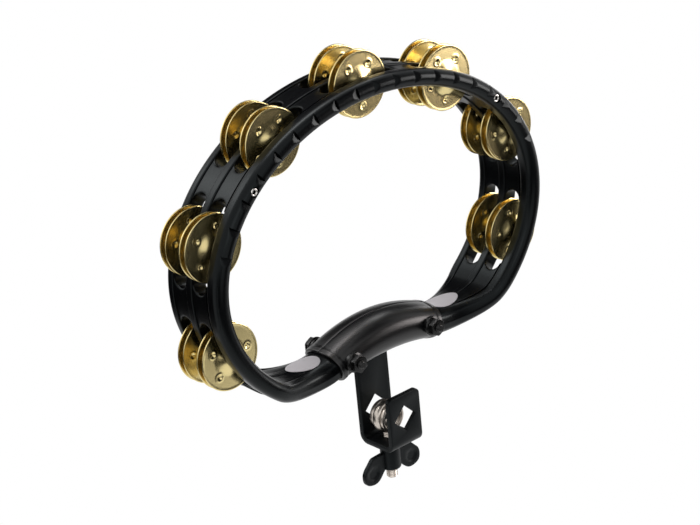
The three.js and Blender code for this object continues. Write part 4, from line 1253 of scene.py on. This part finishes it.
class TAMBOURINE_OT_eye_bolt(Operator):
    """Turns the eye and cuts the thread of its shank"""

    bl_idname = "tambourine.eye_bolt"
    bl_label = "Eye bolt"

    def execute(self, context):
        plate = finish("satin_nickel")
        low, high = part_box("eye_bolt")
        centre_z = high.z - EYE_RADIUS
        rise = EYE_RADIUS - EYE_GROOVE_RADIUS
        bulge = [
            (EYE_GROOVE_RADIUS + rise * math.sqrt(max(0, 1 - t * t)), BULGE_MIDDLE + BULGE_HALF_WIDTH * t, 0)
            for t in np.linspace(-1, 1, 33)
        ]
        collar_y = EYE_HALF_WIDTH - EYE_COLLAR
        corners = [
            (EYE_HOLE_RADIUS, -EYE_HALF_WIDTH, 0.8 * MM),
            (EYE_COLLAR_RADIUS, -EYE_HALF_WIDTH, 0.6 * MM),
            (EYE_COLLAR_RADIUS, -EYE_HALF_WIDTH + EYE_FRONT_COLLAR, 0.4 * MM),
            *bulge,
            (EYE_GROOVE_RADIUS, collar_y, 0.1 * MM),
            (EYE_COLLAR_RADIUS, collar_y + 0.5 * MM, 0.3 * MM),
            (EYE_COLLAR_RADIUS, EYE_HALF_WIDTH, 0.6 * MM),
            (EYE_HOLE_RADIUS, EYE_HALF_WIDTH, 0.8 * MM),
        ]
        eye = lathe("eye", round_corners(corners), plate, sides=96)
        moved(eye, Matrix.Translation((0, EYE_Y, centre_z)))
        start = centre_z - (EYE_RADIUS + EYE_HOLE_RADIUS) / 2
        pitch = context.scene.tambourine_sizes.thread_pitch
        shank = threaded("shank", SHANK_RADIUS, pitch, -start, -low.z, plate)
        moved(shank, Matrix.Translation((0, EYE_Y, 0)) @ Matrix.Rotation(-math.pi / 2, 4, "X"))
        dressed(joined("eye_and_shank", [eye, shank]), "eye_bolt", "nickel", "eye_bolt")
        return {"FINISHED"}


BARREL_RADIUS = 7.1 * MM
BARREL_HEIGHT = 21 * MM
WING_THICKNESS = 3.4 * MM
WING_LOBE_X = 18 * MM
WING_LOBE_DROP = 19 * MM
WING_ROOT_DROP = 7 * MM
WING_DISH_RADIUS = 6.2 * MM
WING_DISH = 0.9 * MM
WING_DISH_FLOOR = 0.45  # share of the dish's radius that is flat
# Shares of a wing's outline and of its thickness, from its edge inwards.
WING_RIM = [(1.0, 0.62), (0.993, 0.82), (0.975, 0.95), (0.94, 1.0)]


def wing_outline():
    """A wing in X and height: out from the barrel, straight down its outer edge and round its lobe."""
    root = BARREL_RADIUS - 1.5 * MM
    corners = [
        (root, -WING_ROOT_DROP, 0.2 * MM),
        (WING_LOBE_X - 0.5 * MM, -WING_ROOT_DROP - 0.6 * MM, 1.5 * MM),
        (WING_LOBE_X + 8.2 * MM, -WING_LOBE_DROP + 2.5 * MM, 3.5 * MM),
        (WING_LOBE_X + 7.8 * MM, -WING_LOBE_DROP - 6.8 * MM, 5 * MM),
        (WING_LOBE_X - 3.5 * MM, -WING_LOBE_DROP - 9.4 * MM, 5.5 * MM),
        (WING_LOBE_X - 9 * MM, -WING_LOBE_DROP - 3 * MM, 1.5 * MM),
        (root, -BARREL_HEIGHT + 2.5 * MM, 0.2 * MM),
    ]
    return round_corners(corners, steps=9)


def wing(name, side, material):
    """One wing, its two faces dished inside a round rim."""
    outline = wing_outline()
    lobe = np.array([WING_LOBE_X, -WING_LOBE_DROP])
    shares = WING_RIM + [(share, 1.0) for share in np.linspace(0.88, 0.04, 15)]
    floor = WING_DISH_RADIUS * WING_DISH_FLOOR
    layers = []
    for face, order in ((-1, shares[::-1]), (1, shares)):
        for share, height in order:
            points = lobe + (outline - lobe) * share
            away = np.hypot(*(points - lobe).T)
            dish = WING_DISH * (1 - eased((away - floor) / (WING_DISH_RADIUS - floor)))
            y = face * (WING_THICKNESS / 2 * height - dish)
            layers.append(np.stack([side * points[:, 0], y, points[:, 1]], -1))
    return loft(name, np.array(layers), material, smooth_angle=50)


class TAMBOURINE_OT_wing_nut(Operator):
    """Shapes the wing nut below the clamp"""

    bl_idname = "tambourine.wing_nut"
    bl_label = "Wing nut"

    def execute(self, context):
        black = finish("clamp_black")
        bore = SHANK_RADIUS + 0.3 * MM
        top = [(bore, 0, 0), (BARREL_RADIUS, 0, 0.5 * MM)]
        foot = [(BARREL_RADIUS, BARREL_HEIGHT, 1.8 * MM), (bore, BARREL_HEIGHT, 0.3 * MM)]
        body = lathe("barrel", round_corners(top + foot), black, sides=72)
        moved(body, Matrix.Rotation(-math.pi / 2, 4, "X"))
        nut = joined("wing_nut_body", [body, *[wing(f"wing_{side}", side, black) for side in SIDES]])
        moved(nut, Matrix.Translation((0, EYE_Y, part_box("wing_nut")[1].z)))
        dressed(nut, "wing_nut", "black_steel", "wing_nut")
        return {"FINISHED"}


# --- Stage ---

CAMERA_AZIMUTH = math.radians(-39.84)
CAMERA_ELEVATION = math.radians(22.40)
CAMERA_ROLL = math.radians(-5.71)
CAMERA_DISTANCE = 1.338
CAMERA_TARGET = Vector((-0.0228, -0.012, 0.1196))
CAMERA_LENS = 104.35
SENSOR_WIDTH = 36
RING_MIDDLE = Vector((0, 0, 0.13))
FLOOR_Z = -0.6
FLOOR_SIZE = 12
WORLD_LEVEL = 0.07

# Each panel's name, place, width and height in metres, brightness and tint.
PANELS = (
    ("top_box", (0.05, 0.3, 1.45), 0.7, 0.42, 8, (1, 0.95, 0.95)),
    ("high_right_box", (0.75, 0.47, 1.1), 0.3, 0.3, 4),
    ("right_box", (0.81, -0.6, 0.23), 0.4, 0.46, 9, (1, 0.93, 0.91)),
    ("back_left_box", (-0.55, 0.9, 1.0), 0.4, 0.4, 4),
    ("front_fill", (-0.9, -1.4, 0.9), 0.8, 0.6, 1.2),
    ("left_strip", (-0.95, -0.5, -0.3), 0.08, 0.7, 2.2),
    ("rear_right_box", (1.4, 0.7, 0.2), 0.3, 0.9, 3, (1, 0.97, 0.97)),
    ("low_card_left", (0.60, -1.0, -0.56), 0.36, 0.2, 0.2),
)
# Each flag's name, place, width and height in metres.
FLAGS = (
    ("front_flag", (0.9, -1.1, 0.2), 1.5, 1.7),
    ("low_front_flag", (-0.1, -1.05, -0.4), 1.3, 0.5),
    ("low_left_flag", (-1.05, -0.8, -0.25), 1.1, 0.9),
    ("back_left_flag", (-0.75, 0.95, -0.3), 1.3, 0.85),
    ("back_right_flag", (0.75, 0.95, 0.78), 1.3, 1.1),
    ("low_right_flag", (1.0, 0.62, -0.42), 0.9, 0.5),
    ("high_flag", (0.62, -0.55, 1.25), 0.8, 0.7),
)


def stage_camera():
    a, e, r = CAMERA_AZIMUTH, CAMERA_ELEVATION, CAMERA_ROLL
    back = Vector((math.sin(a) * math.cos(e), -math.cos(a) * math.cos(e), math.sin(e)))
    right = Vector((math.cos(a), math.sin(a), 0))
    up = back.cross(right)
    rolled_right = math.cos(r) * right + math.sin(r) * up
    rolled_up = -math.sin(r) * right + math.cos(r) * up
    data = bpy.data.cameras.new("camera")
    data.lens = CAMERA_LENS
    data.sensor_width = SENSOR_WIDTH
    data.clip_end = 20
    camera = placed("camera", data)
    turn = Matrix((rolled_right, rolled_up, back)).transposed()
    camera.matrix_world = Matrix.Translation(CAMERA_TARGET + back * CAMERA_DISTANCE) @ turn.to_4x4()
    bpy.context.scene.camera = camera


def facing_ring(place):
    """The turn of a flat panel or card that makes it face the ring from its place."""
    return (Vector(place) - RING_MIDDLE).to_track_quat("Z", "Y")


def stage_lamp(name, place, width, height, brightness, tint=(1, 1, 1)):
    """A soft panel of light that faces the ring; its power follows from its size and brightness."""
    data = bpy.data.lights.new(name, "AREA")
    data.shape = "RECTANGLE"
    data.size = width
    data.size_y = height
    data.energy = math.pi * width * height * brightness
    data.color = tint
    lamp = placed(name, data)
    lamp.location = place
    lamp.rotation_euler = facing_ring(place).to_euler()


def card(name, width, height, matrix, material):
    """A flat rectangle about its own middle, put in its place."""
    corners = [(x * width / 2, y * height / 2, 0) for x, y in ((-1, -1), (1, -1), (1, 1), (-1, 1))]
    mesh = bpy.data.meshes.new(name)
    mesh.from_pydata(corners, [], [(0, 1, 2, 3)])
    mesh.materials.append(material)
    mesh.transform(matrix)
    return placed(name, mesh)


def stage_flag(name, place, width, height, material):
    """A dark card beside the view, so that polished metal has something dark to show as well."""
    matrix = Matrix.Translation(place) @ facing_ring(place).to_matrix().to_4x4()
    flag = card(name, width, height, matrix, material)
    flag.visible_camera = False
    flag.visible_shadow = False


def seen_directly(nodes, links):
    """1 for what the camera sees straight, in a mirror-like surface or through glass; otherwise 0."""
    path = nodes.new("ShaderNodeLightPath")
    seen = path.outputs["Is Camera Ray"]
    for ray in ("Is Glossy Ray", "Is Transmission Ray"):
        either = nodes.new("ShaderNodeMath")
        either.operation = "MAXIMUM"
        links.new(seen, either.inputs[0])
        links.new(path.outputs[ray], either.inputs[1])
        seen = either.outputs[0]
    return seen


def white_when_seen(owner, white_kind, plain_kind, plain_values, out_kind):
    """White where it is looked at straight or in a reflection, and a plain shader for the light it gives."""
    owner.use_nodes = True
    nodes, links = owner.node_tree.nodes, owner.node_tree.links
    nodes.clear()
    white = nodes.new(white_kind)
    white.inputs["Color"].default_value = (1, 1, 1, 1)
    plain = nodes.new(plain_kind)
    for label, value in plain_values.items():
        plain.inputs[label].default_value = value
    mix = nodes.new("ShaderNodeMixShader")
    out = nodes.new(out_kind)
    links.new(seen_directly(nodes, links), mix.inputs["Fac"])
    links.new(plain.outputs[0], mix.inputs[1])
    links.new(white.outputs[0], mix.inputs[2])
    links.new(mix.outputs[0], out.inputs["Surface"])


def pale_backdrop():
    material = bpy.data.materials.new("pale_floor")
    paint_values = {"Color": (0.8, 0.8, 0.8, 1)}
    kinds = ("ShaderNodeEmission", "ShaderNodeBsdfDiffuse", paint_values, "ShaderNodeOutputMaterial")
    white_when_seen(material, *kinds)
    return material


def stage_world():
    world = bpy.data.worlds.new("studio")
    bpy.context.scene.world = world
    air = {"Color": (0.9, 0.92, 1.0, 1), "Strength": WORLD_LEVEL}
    white_when_seen(world, "ShaderNodeBackground", "ShaderNodeBackground", air, "ShaderNodeOutputWorld")


class TAMBOURINE_OT_stage(Operator):
    """Sets the pale floor, the soft studio light and the camera"""

    bl_idname = "tambourine.stage"
    bl_label = "Stage"

    def execute(self, context):
        floor = card("floor", FLOOR_SIZE, FLOOR_SIZE, Matrix.Translation((0, 0, FLOOR_Z)), pale_backdrop())
        stage_world()
        for panel in PANELS:
            stage_lamp(*panel)
        dark = plain_finish("flag_cloth", (0.02, 0.02, 0.02), 0.9, MOULDED_GRAIN, SATIN_MOULDING)
        for flag in FLAGS:
            stage_flag(*flag, dark)
        stage_camera()
        context.scene.view_settings.view_transform = "Standard"
        return {"FINISHED"}


class TAMBOURINE_PT_pieces(Panel):
    """Lists the tambourine's pieces"""

    bl_idname = "TAMBOURINE_PT_pieces"
    bl_label = "Mountable Tambourine"
    bl_space_type = "VIEW_3D"
    bl_region_type = "UI"
    bl_category = "Tambourine"

    def draw(self, context):
        for group in (context.scene.tambourine_sizes, context.scene.tambourine_looks):
            box = self.layout.box()
            for name in group.bl_rna.properties.keys():
                if name not in ("name", "rna_type"):
                    box.prop(group, name)
        for operator in OPERATORS:
            self.layout.operator(operator.bl_idname)


OPERATORS = (
    TAMBOURINE_OT_stage,
    TAMBOURINE_OT_ring,
    TAMBOURINE_OT_jingles,
    TAMBOURINE_OT_pins,
    TAMBOURINE_OT_grip,
    TAMBOURINE_OT_fasteners,
    TAMBOURINE_OT_rivets,
    TAMBOURINE_OT_labels,
    TAMBOURINE_OT_clamp,
    TAMBOURINE_OT_eye_bolt,
    TAMBOURINE_OT_wing_nut,
)
CLASSES = (TambourineSizes, TambourineLooks, *OPERATORS, TAMBOURINE_PT_pieces)


def register():
    for cls in CLASSES:
        bpy.utils.register_class(cls)
    bpy.types.Scene.tambourine_sizes = PointerProperty(type=TambourineSizes)
    bpy.types.Scene.tambourine_looks = PointerProperty(type=TambourineLooks)


def unregister():
    del bpy.types.Scene.tambourine_looks
    del bpy.types.Scene.tambourine_sizes
    for cls in reversed(CLASSES):
        bpy.utils.unregister_class(cls)


def main():
    register()
    bpy.ops.tambourine.stage()
    bpy.ops.tambourine.ring()
    bpy.ops.tambourine.jingles()
    bpy.ops.tambourine.pins()
    bpy.ops.tambourine.grip()
    bpy.ops.tambourine.fasteners()
    bpy.ops.tambourine.rivets()
    bpy.ops.tambourine.labels()
    bpy.ops.tambourine.clamp()
    bpy.ops.tambourine.eye_bolt()
    bpy.ops.tambourine.wing_nut()


if __name__ == "__main__":
    main()
